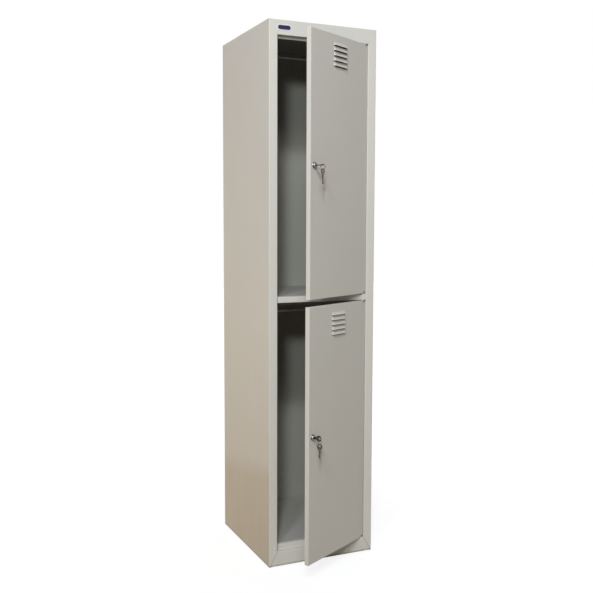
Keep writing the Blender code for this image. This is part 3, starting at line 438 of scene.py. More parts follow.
def chrome_plate(name, colour):
    """Bright plating with faint finger marks and hairlines; its colour is kept dark, a painted reflection of dark
    surroundings.
    """
    plate = Finish(name, {"Metallic": 1.0})
    smudge = plate.ramp(plate.noise(5 * MM, 3.0), 0.45, 0.75)
    hairs = plate.noise(0.5 * MM, 2.0, stretch=(1.0, 0.06, 1.0))
    return plate.dressed(colour, tone=0.96 + hairs * 0.05, roughness=0.26 + smudge * 0.10 + hairs * 0.04,
                         relief=hairs, depth=0.01 * MM, strength=0.15)


def zinc_plate(name, metals):
    """Passivated zinc: small spangle, slightly uneven sheen, gone dull on wire."""
    plate = Finish(name, {"Metallic": 1.0})
    spangle = plate.node("ShaderNodeTexVoronoi", {"Vector": plate.place, "Scale": 1 / (2.2 * MM)}, "Distance")
    film = plate.noise(12 * MM, 3.0)
    tint = plate.mix(plate.ramp(film, 0.35, 0.80) * 0.35, metals.zinc, metals.tarnish)
    tint = plate.mix(plate.level("dull"), tint, metals.wire)
    return plate.dressed(tint, tone=0.90 + spangle * 0.16, roughness=0.26 + film * 0.16 + spangle * 0.06,
                         relief=spangle, depth=0.03 * MM, strength=0.25)


def worn_nickel(name, metals):
    """Nickel-plated brass: brushed, with the brass coming through where it is handled."""
    plate = Finish(name, {"Metallic": 1.0})
    brushed = plate.noise(0.35 * MM, 2.0, stretch=(1.0, 1.0, 0.08))
    worn = plate.ramp(plate.noise(7 * MM, 5.0), 0.36, 0.56) * plate.level("handled")
    return plate.dressed(plate.mix(worn, metals.nickel, metals.brass), tone=0.90 + brushed * 0.18,
                         roughness=0.24 + worn * 0.14 + brushed * 0.10,
                         relief=brushed, depth=0.02 * MM, strength=0.35)


def moulded(name, colour, roughness, grain):
    """Moulded nylon or rubber with a fine mould texture."""
    skin = Finish(name, {"Specular IOR Level": 0.4})
    mould = skin.noise(grain, 3.0)
    cloud = skin.noise(9 * MM, 2.0)
    return skin.dressed(colour, tone=0.90 + cloud * 0.18, roughness=roughness - 0.06 + mould * 0.12,
                        relief=mould, depth=0.05 * MM, strength=0.4)


def enamelled(name, colour):
    """Stoved enamel on a small plate: smooth, with a little flow and dust in it."""
    coat = Finish(name, {"Specular IOR Level": 0.15})
    flow = coat.noise(6 * MM, 2.0)
    speck = coat.ramp(coat.noise(0.5 * MM, 1.0), 0.62, 0.78)
    return coat.dressed(colour, tone=0.90 + flow * 0.18 + speck * 0.25, roughness=0.30 + speck * 0.10,
                        relief=flow, depth=0.03 * MM, strength=0.3)


def finish_for(slot):
    """The finish of one of the record's material slots, or of the small plate, made once."""
    name = "locker_" + slot
    paint = bpy.context.scene.locker_paint
    metals = bpy.context.scene.locker_metals
    makers = {
        "carcass_paint": lambda: powder_coat(name, paint.carcass, paint, True),
        "door_paint": lambda: powder_coat(name, paint.door, paint),
        "bright_chrome": lambda: chrome_plate(name, metals.chrome_dark_reflection),
        "zinc_plate": lambda: zinc_plate(name, metals),
        "key_nickel": lambda: worn_nickel(name, metals),
        "white_nylon": lambda: moulded(name, metals.nylon, roughness=0.45, grain=0.6 * MM),
        "black_rubber": lambda: moulded(name, metals.rubber, roughness=0.70, grain=0.4 * MM),
        "plate_enamel": lambda: enamelled(name, metals.enamel),
        "plate_border": lambda: enamelled(name, metals.border),
    }
    return bpy.data.materials.get(name) or makers[slot]()


# Meshes

def link(name, data):
    piece = bpy.data.objects.new(name, data)
    bpy.context.scene.collection.objects.link(piece)
    return piece


def add_modifier(piece, kind, **settings):
    modifier = piece.modifiers.new(kind.lower(), kind)
    for name, value in settings.items():
        setattr(modifier, name, value)
    return modifier


def settled(piece):
    """The evaluated piece as a plain mesh; the piece itself goes."""
    graph = bpy.context.evaluated_depsgraph_get()
    mesh = bpy.data.meshes.new_from_object(piece.evaluated_get(graph))
    bpy.data.objects.remove(piece)
    return mesh


def shaded(mesh, angle):
    """Smooth over folds and fillets while the flat faces stay flat."""
    mesh.shade_smooth()
    mesh.set_sharp_from_angle(angle=math.radians(angle))
    piece = link("shading", mesh)
    add_modifier(piece, "WEIGHTED_NORMAL", keep_sharp=True, weight=80)
    return settled(piece)


def bevelled(mesh, width, segments=2, angle=55):
    """Break the sharp edges of a mesh."""
    piece = link("edges", mesh)
    add_modifier(piece, "BEVEL", width=width, segments=segments, limit_method="ANGLE",
                 angle_limit=math.radians(angle))
    return settled(piece)


def carved(mesh, *cutters):
    """Cut other meshes out of one."""
    piece = link("carved", mesh)
    tools = [link("cutter", cutter) for cutter in cutters]
    for tool in tools:
        add_modifier(piece, "BOOLEAN", operation="DIFFERENCE", solver="EXACT", object=tool)
    result = settled(piece)
    for tool in tools:
        bpy.data.objects.remove(tool)
    return result


def mesh_from(bm):
    mesh = bpy.data.meshes.new("work")
    bm.to_mesh(mesh)
    bm.free()
    return mesh


def closed_mesh(bm, place=HERE):
    """A mesh in its place, with its faces outwards."""
    bmesh.ops.recalc_face_normals(bm, faces=bm.faces)
    mesh = mesh_from(bm)
    mesh.transform(place)
    return mesh


def marked(mesh, name, level):
    """The mesh with one level written on all its points, for its material to read."""
    layer = mesh.attributes.new(name, "FLOAT", "POINT")
    layer.data.foreach_set("value", [level] * len(mesh.vertices))
    return mesh


def joined(meshes):
    """Several meshes as one."""
    bm = bmesh.new()
    for mesh in meshes:
        bm.from_mesh(mesh)
    result = mesh_from(bm)
    result.shade_smooth()
    return result


def merged_copy(node):
    """A CAD node's mesh with its loose triangles joined."""
    bm = bmesh.new()
    bm.from_mesh(frame["nodes"][node].data)
    bmesh.ops.remove_doubles(bm, verts=bm.verts, dist=SAME_CAD_POINT)
    bmesh.ops.dissolve_limit(bm, angle_limit=math.radians(0.5), verts=bm.verts, edges=bm.edges)
    return mesh_from(bm)


def add_piece(name, mesh, slot, body, nodes=()):
    """A finished piece on its body, standing for the CAD nodes that it covers."""
    mesh.name = name
    mesh.materials.clear()
    mesh.materials.append(finish_for(slot))
    piece = link(name, mesh)
    if nodes:
        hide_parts(*nodes)
    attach(piece, body)


def stand_in(node, mesh):
    """A finished piece that takes a CAD node's place, body and slot."""
    add_piece(node + "_finished", mesh, SLOT_OF[node], BODY_OF[node], (node,))


def circle(x, radius, steps, start=0.0, sweep=2 * math.pi):
    """Even steps along a circle or an arc, without the step that ends it."""
    angles = [start + sweep * i / steps for i in range(steps)]
    return [(x + radius * math.cos(angle), radius * math.sin(angle)) for angle in angles]


def eased(corners, steps=4, closed=False):
    """Round the corners of an outline, each given as (x, y, radius)."""
    points = []
    last = len(corners) - 1
    for i, (x, y, radius) in enumerate(corners):
        here = Vector((x, y))
        if not radius or (not closed and i in (0, last)):
            points.append(here)
            continue
        before = (Vector(corners[i - 1][:2]) - here).normalized()
        after = (Vector(corners[0 if i == last else i + 1][:2]) - here).normalized()
        half = before.angle(after) / 2
        reach = radius / math.tan(half)
        centre = here + (before + after).normalized() * radius / math.sin(half)
        start = here + before * reach - centre
        end = here + after * reach - centre
        for k in range(steps + 1):
            points.append(centre + start.lerp(end, k / steps).normalized() * radius)
    return points


def band(bm, low, high):
    """Faces between two closed rows of points; a row of one point closes an end."""
    steps = max(len(low), len(high))
    for i in range(steps):
        j = (i + 1) % steps
        corners = [low[i % len(low)], low[j % len(low)], high[j % len(high)], high[i % len(high)]]
        bm.faces.new(list(dict.fromkeys(corners)))


def turned(corners, place=HERE, steps=64, easing=4, bored=False):
    """A round piece: an outline of (radius, height, fillet) turned about Z, then put in place."""
    bm = bmesh.new()
    rings = []
    for radius, height in eased(corners, easing, bored):
        spokes = circle(0, radius, steps) if radius > SAME_POINT else [(0, 0)]
        rings.append([bm.verts.new((x, y, height)) for x, y in spokes])
    if bored:
        rings.append(rings[0])
    for low, high in zip(rings, rings[1:]):
        band(bm, low, high)
    bmesh.ops.remove_doubles(bm, verts=bm.verts, dist=SAME_POINT)
    return shaded(closed_mesh(bm, place), 32)


def turned_in_box(node, box, along, outline, place=HERE, **fineness):
    """A CAD node's round stand-in, its outline worked out from its box and turned along one of its axes."""
    low, high = box
    axis = "XYZ".index(along[-1])
    side = 0 if axis == 2 else 2
    start = (low + high) / 2
    start[axis] = high[axis] if along[0] == "-" else low[axis]
    corners = outline((high[side] - low[side]) / 2, high[axis] - low[axis])
    stand_in(node, turned(corners, place @ Matrix.Translation(start) @ Z_TO[along], **fineness))


def drill(radius, low, high, place=HERE, steps=64):
    """A plain round bar, used as a cutter."""
    return turned([(0, low, 0), (radius, low, 0), (radius, high, 0), (0, high, 0)], place, steps)


def slab(size, centre):
    """A plain block, used as a cutter."""
    bm = bmesh.new()
    bmesh.ops.create_cube(bm, size=1.0)
    bmesh.ops.scale(bm, verts=bm.verts, vec=Vector(size))
    bmesh.ops.translate(bm, verts=bm.verts, vec=Vector(centre))
    return closed_mesh(bm)


def blank(loops, thickness, place=HERE):
    """A flat blank in XY from an outline and its holes, centred on its thickness."""
    loops = [[Vector((x, y, 0)) for x, y in loop] for loop in loops]
    half = Vector((0, 0, thickness / 2))
    bm = bmesh.new()
    low = [bm.verts.new(point - half) for loop in loops for point in loop]
    high = [bm.verts.new(point + half) for loop in loops for point in loop]
    for a, b, c in tessellate_polygon(loops):
        bm.faces.new([low[a], low[b], low[c]])
        bm.faces.new([high[c], high[b], high[a]])
    start = 0
    for loop in loops:
        end = start + len(loop)
        band(bm, low[start:end], high[start:end])
        start = end
    bmesh.ops.recalc_face_normals(bm, faces=bm.faces)
    bmesh.ops.dissolve_limit(bm, angle_limit=math.radians(0.1), verts=bm.verts, edges=bm.edges)
    return closed_mesh(bm, place)


# Repeats, made by Geometry Nodes

def new_tree(name, sockets):
    """A geometry tree with named inputs; returns its board and those inputs."""
    tree = bpy.data.node_groups.new(name, "GeometryNodeTree")
    tree.interface.new_socket(name="Geometry", in_out="OUTPUT", socket_type="NodeSocketGeometry")
    for label, kind in sockets.items():
        tree.interface.new_socket(name=label, in_out="INPUT", socket_type="NodeSocket" + kind)
    board = Board(tree)
    entry = tree.nodes.new("NodeGroupInput")
    return board, {label: Signal(board, entry.outputs[label]) for label in sockets}


def close_tree(board, geometry, material):
    """End a tree with realised instances, smooth faces and their material."""
    real = board.node("GeometryNodeRealizeInstances", {"Geometry": geometry})
    smooth = board.node("GeometryNodeSetShadeSmooth", {"Geometry": real})
    dressed = board.node("GeometryNodeSetMaterial", {"Geometry": smooth, "Material": material})
    board.feed(board.tree.nodes.new("NodeGroupOutput").inputs["Geometry"], dressed)
    return board.tree


def dome_row_tree(name):
    """Low domes set at even steps along a line: spot-weld marks and rivet heads."""
    board, given = new_tree(name, {"Start": "Vector", "End": "Vector", "Facing": "Vector", "Count": "Int",
                                   "Radius": "Float", "Rise": "Float", "Material": "Material"})
    line = board.node("GeometryNodeMeshLine", {"Count": given["Count"], "Start Location": given["Start"],
                                               "Offset": given["End"]}, mode="END_POINTS")
    dome = board.node("GeometryNodeMeshUVSphere", {"Segments": 20, "Rings": 8, "Radius": 1.0})
    size = board.node("ShaderNodeCombineXYZ", {0: given["Radius"], 1: given["Radius"], 2: given["Rise"]})
    facing = board.node("FunctionNodeAlignRotationToVector", {"Vector": given["Facing"]}, axis="Z")
    row = board.node("GeometryNodeInstanceOnPoints", {"Points": line, "Instance": dome, "Rotation": facing,
                                                      "Scale": size})
    return close_tree(board, row, given["Material"])


def louvre_bank_tree(name):
    """Copies of one pressed louvre, stacked at their pitch and merged into the door's face."""
    board, given = new_tree(name, {"Sheet": "Geometry", "Louvre": "Object", "Count": "Int", "Foot": "Vector",
                                   "Pitch": "Float", "Material": "Material"})
    step = board.node("ShaderNodeCombineXYZ", {2: given["Pitch"]})
    stack = board.node("GeometryNodeMeshLine", {"Count": given["Count"], "Start Location": given["Foot"],
                                                "Offset": step}, mode="OFFSET")
    louvre = board.node("GeometryNodeObjectInfo", {"Object": given["Louvre"]}, "Geometry")
    bank = board.node("GeometryNodeInstanceOnPoints", {"Points": stack, "Instance": louvre})
    real = board.node("GeometryNodeRealizeInstances", {"Geometry": bank})
    both = board.node("GeometryNodeJoinGeometry", {0: real})
    board.feed(both.socket.node.inputs[0], given["Sheet"])
    whole = board.node("GeometryNodeMergeByDistance", {"Geometry": both, "Distance": SAME_SEAM_POINT})
    return close_tree(board, whole, given["Material"])


TREES = {"dome_row": dome_row_tree, "louvre_bank": louvre_bank_tree}


def grow(piece, name, values):
    """Put a geometry tree on a piece, with each input set by its socket's identifier."""
    tree = bpy.data.node_groups.get(name) or TREES[name](name)
    modifier = add_modifier(piece, "NODES", node_group=tree)
    for item in tree.interface.items_tree:
        if item.in_out == "INPUT" and item.name in values:
            modifier[item.identifier] = values[item.name]


def dome_row(start, end, facing, count, radius, rise, slot):
    """One row of domes as a plain mesh."""
    piece = link("domes", bpy.data.meshes.new("domes"))
    grow(piece, "dome_row", {"Start": start, "End": end, "Facing": facing, "Count": count, "Radius": radius,
                             "Rise": rise, "Material": finish_for(slot)})
    return settled(piece)


def weld_rows(name, box, y, inset, margin, body, slot, settings, place=HERE):
    """Two upright rows of spot-weld marks, in from the sides of a box, that ride on one body."""
    low, high = box
    rise = 0.10 * MM
    count = max(2, round((high.z - low.z - 2 * margin) / settings.weld_pitch) + 1)
    facing = place.to_3x3() @ -OUT
    rows = []
    for x in (low.x + inset, high.x - inset):
        ends = [place @ Vector((x, y, z)) for z in (low.z + margin, high.z - margin)]
        rows.append(dome_row(*ends, facing, count, settings.weld_radius, rise, slot))
    add_piece(name, joined(rows), slot, body)


def louvre_tile(settings):
    """One louvre: its slot, its hood and the flat sheet around it, one pitch high."""
    half = settings.length / 2
    straight_share = 0.87
    place_shares = [1.0, 0.995, 0.985, 0.97, 0.95, 0.93, 0.90, straight_share, 0.50, 0.25]
    crown_share = 0.06
    steps = 10
    across = [-half * share for share in place_shares] + [0.0]
    across += [half * share for share in reversed(place_shares)]
    rows = [0.0, settings.slot] + [settings.slot + settings.height * k / steps for k in range(1, steps + 1)]
    rows.append(settings.pitch)
    bm = bmesh.new()
    grid = []
    for z in rows:
        above = (z - settings.slot) / settings.height
        line = []
        for x in across:
            end = max(0.0, (abs(x) / half - straight_share) / (1 - straight_share))
            swell = math.sqrt(max(0.0, 1 - end ** 2))
            slope = 1 - above - crown_share * math.sin(2 * math.pi * above)
            out = settings.depth * swell * slope if 0 <= above <= 1 else 0.0
            line.append(bm.verts.new((x, -out, z)))
        grid.append(line)
    for low, high in zip(grid[1:], grid[2:]):
        for i in range(len(across) - 1):
            bm.faces.new([low[i], low[i + 1], high[i + 1], high[i]])
    return mesh_from(bm), across, rows


def pan_sheet(settings, across, rows):
    """The door's pan, open where the bank of louvres goes: face, rounded edges, returns and hems."""
    low, high = DOOR_LOW, DOOR_HIGH
    centre = (low.x + high.x) / 2
    foot = high.z - settings.margin - (settings.louvres - 1) * settings.pitch - settings.slot
    hole_x = [centre + x for x in across]
    hole_z = [foot + k * settings.pitch + z for k in range(settings.louvres) for z in rows[:-1]]
    hole_z.append(foot + settings.louvres * settings.pitch)
    hole = [(x, hole_z[0]) for x in hole_x] + [(hole_x[-1], z) for z in hole_z[1:]]
    hole += [(x, hole_z[-1]) for x in hole_x[-2::-1]] + [(hole_x[0], z) for z in hole_z[-2:0:-1]]
    corners = ((low.x, low.z, 1, 1), (high.x, low.z, -1, 1), (high.x, high.z, -1, -1),
               (low.x, high.z, 1, -1))
    bm = bmesh.new()

    def ring(inset, depth):
        return [bm.verts.new((x + right * inset, depth, z + up * inset)) for x, z, right, up in corners]

    face = ring(settings.edge, DOOR_FACE)
    rim = [bm.verts.new((x, DOOR_FACE, z)) for x, z in hole]
    start = 0
    for side, count in enumerate((len(hole_x), len(hole_z)) * 2):
        end = start + count - 1
        edge = [rim[k % len(rim)] for k in range(start, end + 1)]
        bm.faces.new([face[side], face[(side + 1) % 4]] + edge[::-1])
        start = end

    steps = 6
    angles = [math.pi / 2 * k / steps for k in range(steps + 1)]
    outer_edge = settings.edge
    inner_edge_share = 0.6
    inner_edge = settings.edge * inner_edge_share
    fold = [(outer_edge * (1 - math.sin(a)), DOOR_FACE + outer_edge * (1 - math.cos(a))) for a in angles[1:]]
    fold += [(inner_edge * (1 - math.cos(a)), high.y - inner_edge * (1 - math.sin(a))) for a in angles]
    fold.append((settings.hem, high.y))
    for inset, depth in fold:
        outer = ring(inset, depth)
        band(bm, face, outer)
        face = outer
    bmesh.ops.recalc_face_normals(bm, faces=bm.faces)
    bm.faces.ensure_lookup_table()
    if bm.faces[0].normal.y > 0:
        bmesh.ops.reverse_faces(bm, faces=bm.faces)
    return mesh_from(bm), Vector((centre, DOOR_FACE, foot))


def door_pan(settings):
    """A door in its own frame: the pan with its louvres, its thickness, its pin holes and lock hole."""
    tile, across, rows = louvre_tile(settings)
    sheet, foot = pan_sheet(settings, across, rows)
    louvre = link("louvre_tile", tile)
    piece = link("door_pan", sheet)
    grow(piece, "louvre_bank", {"Louvre": louvre, "Count": settings.louvres, "Foot": foot,
                                "Pitch": settings.pitch, "Material": finish_for("door_paint")})
    add_modifier(piece, "SOLIDIFY", thickness=settings.sheet, offset=-1, use_even_offset=True)
    mesh = settled(piece)
    bpy.data.objects.remove(louvre)
    through = 3 * MM
    cutters = [drill(LOCK_HOLE, -through, through, Matrix.Translation(LOCK_ON_DOOR) @ Z_TO_Y)]
    for z in (0, DOOR_HIGH.z):
        cutters.append(drill(PIN_BORE, -through, through, Matrix.Translation((0, 0, z)), steps=32))
    relief_depth = 5 * MM
    relief = (settings.relief * 2, relief_depth, settings.relief)
    edge_share = 1.3
    edge = settings.sheet * edge_share
    for z in (DOOR_LOW.z + edge + settings.relief / 2, DOOR_HIGH.z - edge - settings.relief / 2):
        cutters.append(slab(relief, (DOOR_HIGH.x - edge - settings.relief, DOOR_FACE, z)))
    return carved(mesh, *cutters)


# Operators, one for each piece or group of like pieces

class Undoable:
    """What every operator here shares."""
    bl_options = {"REGISTER", "UNDO"}


class LOCKER_OT_carcass(Undoable, Operator):
    """Paint and shade the folded sheets of the carcass and fill the two welded top mitres"""
    bl_idname = "locker.carcass"
    bl_label = "Carcass Sheets"

    def execute(self, context):
        for node in ("left_side_panel", "right_side_panel", "back_panel", "roof_panel", "mid_shelf",
                     "floor_panel", "bottom_rail"):
            stand_in(node, shaded(merged_copy(node), angle=50))
        sheet = context.scene.locker_doors.sheet
        strips = [self.weld(side, sign, sheet) for side, sign in ((CARCASS_LOW.x, 1), (CARCASS_HIGH.x, -1))]
        add_piece("top_corner_welds", joined(strips), "carcass_paint", "carcass")
        return {"FINISHED"}

    def weld(self, side, sign, sheet):
        """A strip that fills a mitre, from the carcass's top corner to the stile's inner edge."""
        wide = 0.5 * MM
        start = 2.3 * MM
        below_top = 0.2 * MM
        above_door = 2 * MM
        top = CARCASS_HIGH.z - below_top
        foot = (door_frame("upper") @ DOOR_HIGH).z + above_door
        outline = [(start, top), (start + wide, top), (STILE + wide, foot), (STILE, foot)]
        place = Matrix.Translation((side, CARCASS_LOW.y + sheet / 2, 0)) @ Z_TO_FRONT
        return blank([[(sign * x, z) for x, z in outline]], sheet, place)


class LOCKER_OT_doors(Undoable, Operator):
    """Hang the louvred door pans and their stiffening channels"""
    bl_idname = "locker.doors"
    bl_label = "Louvred Doors"

    def execute(self, context):
        pan = door_pan(context.scene.locker_doors)
        for tier in TIERS:
            mesh = pan.copy()
            mesh.transform(door_frame(tier))
            stand_in(tier + "_door_panel", shaded(mesh, angle=42))
            stand_in(tier + "_door_stiffener", shaded(merged_copy(tier + "_door_stiffener"), angle=50))
        return {"FINISHED"}


class LOCKER_OT_welds(Undoable, Operator):
    """Mark the spot welds on the rear flanges and on the door stiffeners"""
    bl_idname = "locker.welds"
    bl_label = "Spot Welds"

    def execute(self, context):
        settings = context.scene.locker_doors
        weld_rows("rear_flange_welds", (CARCASS_LOW, CARCASS_HIGH), CARCASS_HIGH.y, inset=9 * MM,
                  margin=30 * MM, body="carcass", slot="carcass_paint", settings=settings)
        for tier in TIERS:
            place = door_frame(tier)
            box = local_box(tier + "_door_stiffener", place)
            weld_rows(tier + "_stiffener_welds", box, box[0].y + settings.sheet, inset=6 * MM,
                      margin=20 * MM, body=tier + "_door", slot="door_paint", settings=settings, place=place)
        return {"FINISHED"}


class LOCKER_OT_hinges(Undoable, Operator):
    """Turn the pivot pins and the nylon bushes that they run in"""
    bl_idname = "locker.hinges"
    bl_label = "Pivot Hinges"

    def execute(self, context):
        for tier in TIERS:
            axis = door_frame(tier)
            for end, away in (("top", "Z"), ("bottom", "-Z")):
                for kind, outline in (("bush", self.bush), ("pin", self.pin)):
                    node = f"{tier}_door_{end}_{kind}"
                    turned_in_box(node, local_box(node, axis), away, outline, axis, steps=48, easing=3,
                                  bored=kind == "bush")
        return {"FINISHED"}

    def bush(self, outer, length):
        barrel = outer - 2.2 * MM
        flange = 1.4 * MM
        return [(PIN_BORE, 0, 0.3 * MM), (outer, 0, 0.4 * MM), (outer, flange, 0.2 * MM), (barrel, flange, 0),
                (barrel, length, 0.3 * MM), (PIN_BORE, length, 0.2 * MM)]

    def pin(self, head, length):
        seat = 1.5 * MM
        return [(0, 0, 0), (head, 0, 0.5 * MM), (head, seat, 0.2 * MM), (PIN_SHANK, seat, 0),
                (PIN_SHANK, length, 0.8 * MM), (0, length, 0)]


class LOCKER_OT_rails(Undoable, Operator):
    """Fit the hanging rails, their cups and the rivets that hold the cups"""
    bl_idname = "locker.rails"
    bl_label = "Hanging Rails"
    FLANGE = 1.8 * MM

    def execute(self, context):
        for tier in TIERS:
            node = tier + "_hanging_rail"
            turned_in_box(node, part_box(node), "X", self.rail)
            rivets = []
            for side, away in (("left", "X"), ("right", "-X")):
                node = tier + "_rail_socket_" + side
                turned_in_box(node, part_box(node), away, self.cup)
                rivets.append(self.rivet_heads(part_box(node), away))
            add_piece(tier + "_socket_rivets", joined(rivets), "zinc_plate", "carcass")
        return {"FINISHED"}

    def rail(self, radius, length):
        ease = 0.6 * MM
        return [(0, 0, 0), (radius, 0, ease), (radius, length, ease), (0, length, 0)]

    def cup(self, outer, depth):
        """A cup that opens away from its side panel."""
        wall = 7.3 * MM
        bore = 5.3 * MM
        floor = 1.0 * MM
        return [(0, 0, 0), (outer, 0, 0), (outer, self.FLANGE, 0.6 * MM), (wall, self.FLANGE, 0.6 * MM),
                (wall, depth, 0.5 * MM), (bore, depth, 0.5 * MM), (bore, floor, 0), (0, floor, 0)]

    def rivet_heads(self, box, away):
        """Two rivet heads on a cup's flange, one over the rail and one under it."""
        low, high = box
        middle = (low + high) / 2
        sign = 1 if away == "X" else -1
        face = (low.x if sign > 0 else high.x) + sign * self.FLANGE
        reach = 10.6 * MM
        radius = 2.1 * MM
        rise = 0.9 * MM
        ends = [(face, middle.y, z) for z in (middle.z - reach, middle.z + reach)]
        return dome_row(*ends, (sign, 0, 0), 2, radius, rise, "zinc_plate")


class LOCKER_OT_feet(Undoable, Operator):
    """Turn the floor glides and the door buffers"""
    bl_idname = "locker.feet"
    bl_label = "Glides and Buffers"

    def execute(self, context):
        for node in sorted(frame["nodes"]):
            if node.startswith("glide_"):
                turned_in_box(node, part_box(node), "Z", self.glide, steps=48)
            elif "_buffer_" in node:
                turned_in_box(node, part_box(node), "-Y", self.buffer, steps=40)
        return {"FINISHED"}

    def glide(self, outer, top):
        cap = 2.7 * MM
        stem = 4.0 * MM
        return [(0, 0, 0), (outer, 0, 1.2 * MM), (outer, cap, 0.4 * MM), (stem, cap, 0),
                (stem, top, 0.8 * MM), (0, top, 0)]

    def buffer(self, outer, rise):
        return [(0, 0, 0), (outer, 0, 0.2 * MM), (outer, rise, 1.6 * MM), (0, rise, 0)]


class LOCKER_OT_locks(Undoable, Operator):
    """Make the cam locks: chromed head, threaded barrel, nut, plug, cam and screw"""
    bl_idname = "locker.locks"
    bl_label = "Cam Locks"

    def execute(self, context):
        for tier in TIERS:
            place = lock_frame(tier)
            self.barrel(tier + "_lock_barrel", place)
            self.nut(tier + "_lock_nut", place)
            self.plug(tier + "_lock_plug", place, tier == LEVEL_TIER)
            cam = tier + "_lock_cam"
            stand_in(cam, shaded(bevelled(merged_copy(cam), 0.3 * MM, angle=60), angle=35))
            self.screw(tier + "_cam_screw", place)
        return {"FINISHED"}

    def barrel(self, node, place):
        """The barrel from its conical nose, over the collar and down the thread."""
        low, high = local_box(node, place)
        face = low.y
        back = high.y
        outer = (high.x - low.x) / 2
        bore = 5.8 * MM
        nose = 6.8 * MM
        nose_length = 2.8 * MM
        neck = 8.4 * MM
        taper = 0.1 * MM
        collar = -1.7 * MM
        chamfer = 0.9 * MM
        seat = -0.3 * MM
        thread_start = 1.5 * MM
        thread_end = back - 1.0 * MM
        pitch = 0.75 * MM
        groove = 0.45 * MM
        corners = [(bore, face, 0.25 * MM), (nose, face, 0.5 * MM), (neck, face + nose_length, 0.8 * MM),
                   (neck + taper, collar, 0.1 * MM), (outer - chamfer, collar, 0.2 * MM),
                   (outer, seat, 0.1 * MM), (THREAD_RADIUS, seat, 0)]
        y = thread_start
        while y + pitch < thread_end:
            corners += [(THREAD_RADIUS, y, 0), (THREAD_RADIUS - groove, y + pitch / 2, 0)]
            y += pitch
        corners += [(THREAD_RADIUS, y, 0), (THREAD_RADIUS, back, 0.5 * MM), (bore, back, 0.2 * MM)]
        stand_in(node, turned(corners, place @ Z_TO_Y, steps=72, easing=5, bored=True))

    def nut(self, node, place):
        low, high = local_box(node, place)
        clearance = 0.15 * MM
        hexagon = circle(0, (high.x - low.x) / 2, 6)
        bore = circle(0, THREAD_RADIUS + clearance, 48)
        middle = Matrix.Translation((0, (low.y + high.y) / 2, 0))
        mesh = blank([hexagon, bore], high.y - low.y, place @ middle @ Z_TO_Y)
        stand_in(node, shaded(bevelled(mesh, 0.45 * MM, angle=50), angle=30))

    def plug(self, node, place, level):
        """The plug with its shoulder, its keyway, the square for the cam and the screw's hole."""
        low, high = local_box(node, place)
        face = low.y
        tail = high.y
        front = 5.5 * MM
        rim = 7.5 * MM
        rim_length = 1.9 * MM
        corner = 4.9 * MM
        square = 3.5 * MM
        square_length = 2.3 * MM
        square_start = tail - square_length
        shoulder = square_start - rim_length
        tap = 2.3 * MM
        tap_depth = 6 * MM
        overrun = 1 * MM
        far = 10 * MM
        body = turned([(0, face, 0), (front, face, 0.4 * MM), (front, shoulder, 0), (rim, shoulder, 0.2 * MM),
                       (rim, square_start, 0.2 * MM), (corner, square_start, 0), (corner, tail, 0.3 * MM),
                       (0, tail, 0)], Z_TO_Y)
        keyway = Vector((2.4 * MM, 41.2 * MM, 7.6 * MM))
        cuts = [slab(keyway.zyx if level else keyway, (0, face, 0))]
        away = square + far / 2
        for x, z in ((away, 0), (-away, 0), (0, away), (0, -away)):
            size = (far if x else far * 3, far, far if z else far * 3)
            cuts.append(slab(size, (x, square_start + far / 2, z)))
        cuts.append(drill(tap, tail - tap_depth, tail + overrun, Z_TO_Y, steps=24))
        mesh = carved(body, *cuts)
        mesh.transform(place)
        stand_in(node, shaded(bevelled(mesh, 0.15 * MM, segments=1, angle=60), angle=35))

    def screw(self, node, place):
        low, high = local_box(node, place)
        head = (high.x - low.x) / 2
        crown = high.y
        head_height = 2.4 * MM
        seat = crown - head_height
        shank = 2.0 * MM
        body = turned([(0, low.y, 0), (shank, low.y, 0.3 * MM), (shank, seat, 0), (head, seat, 0.2 * MM),
                       (head, crown, 1.6 * MM), (0, crown, 0)], Z_TO_Y, steps=48)
        slot = Vector((4.6 * MM, 3.0 * MM, 0.9 * MM))
        mesh = carved(body, slab(slot, (0, crown, 0)), slab(slot.zyx, (0, crown, 0)))
        mesh.transform(place)
        stand_in(node, shaded(mesh, angle=32))


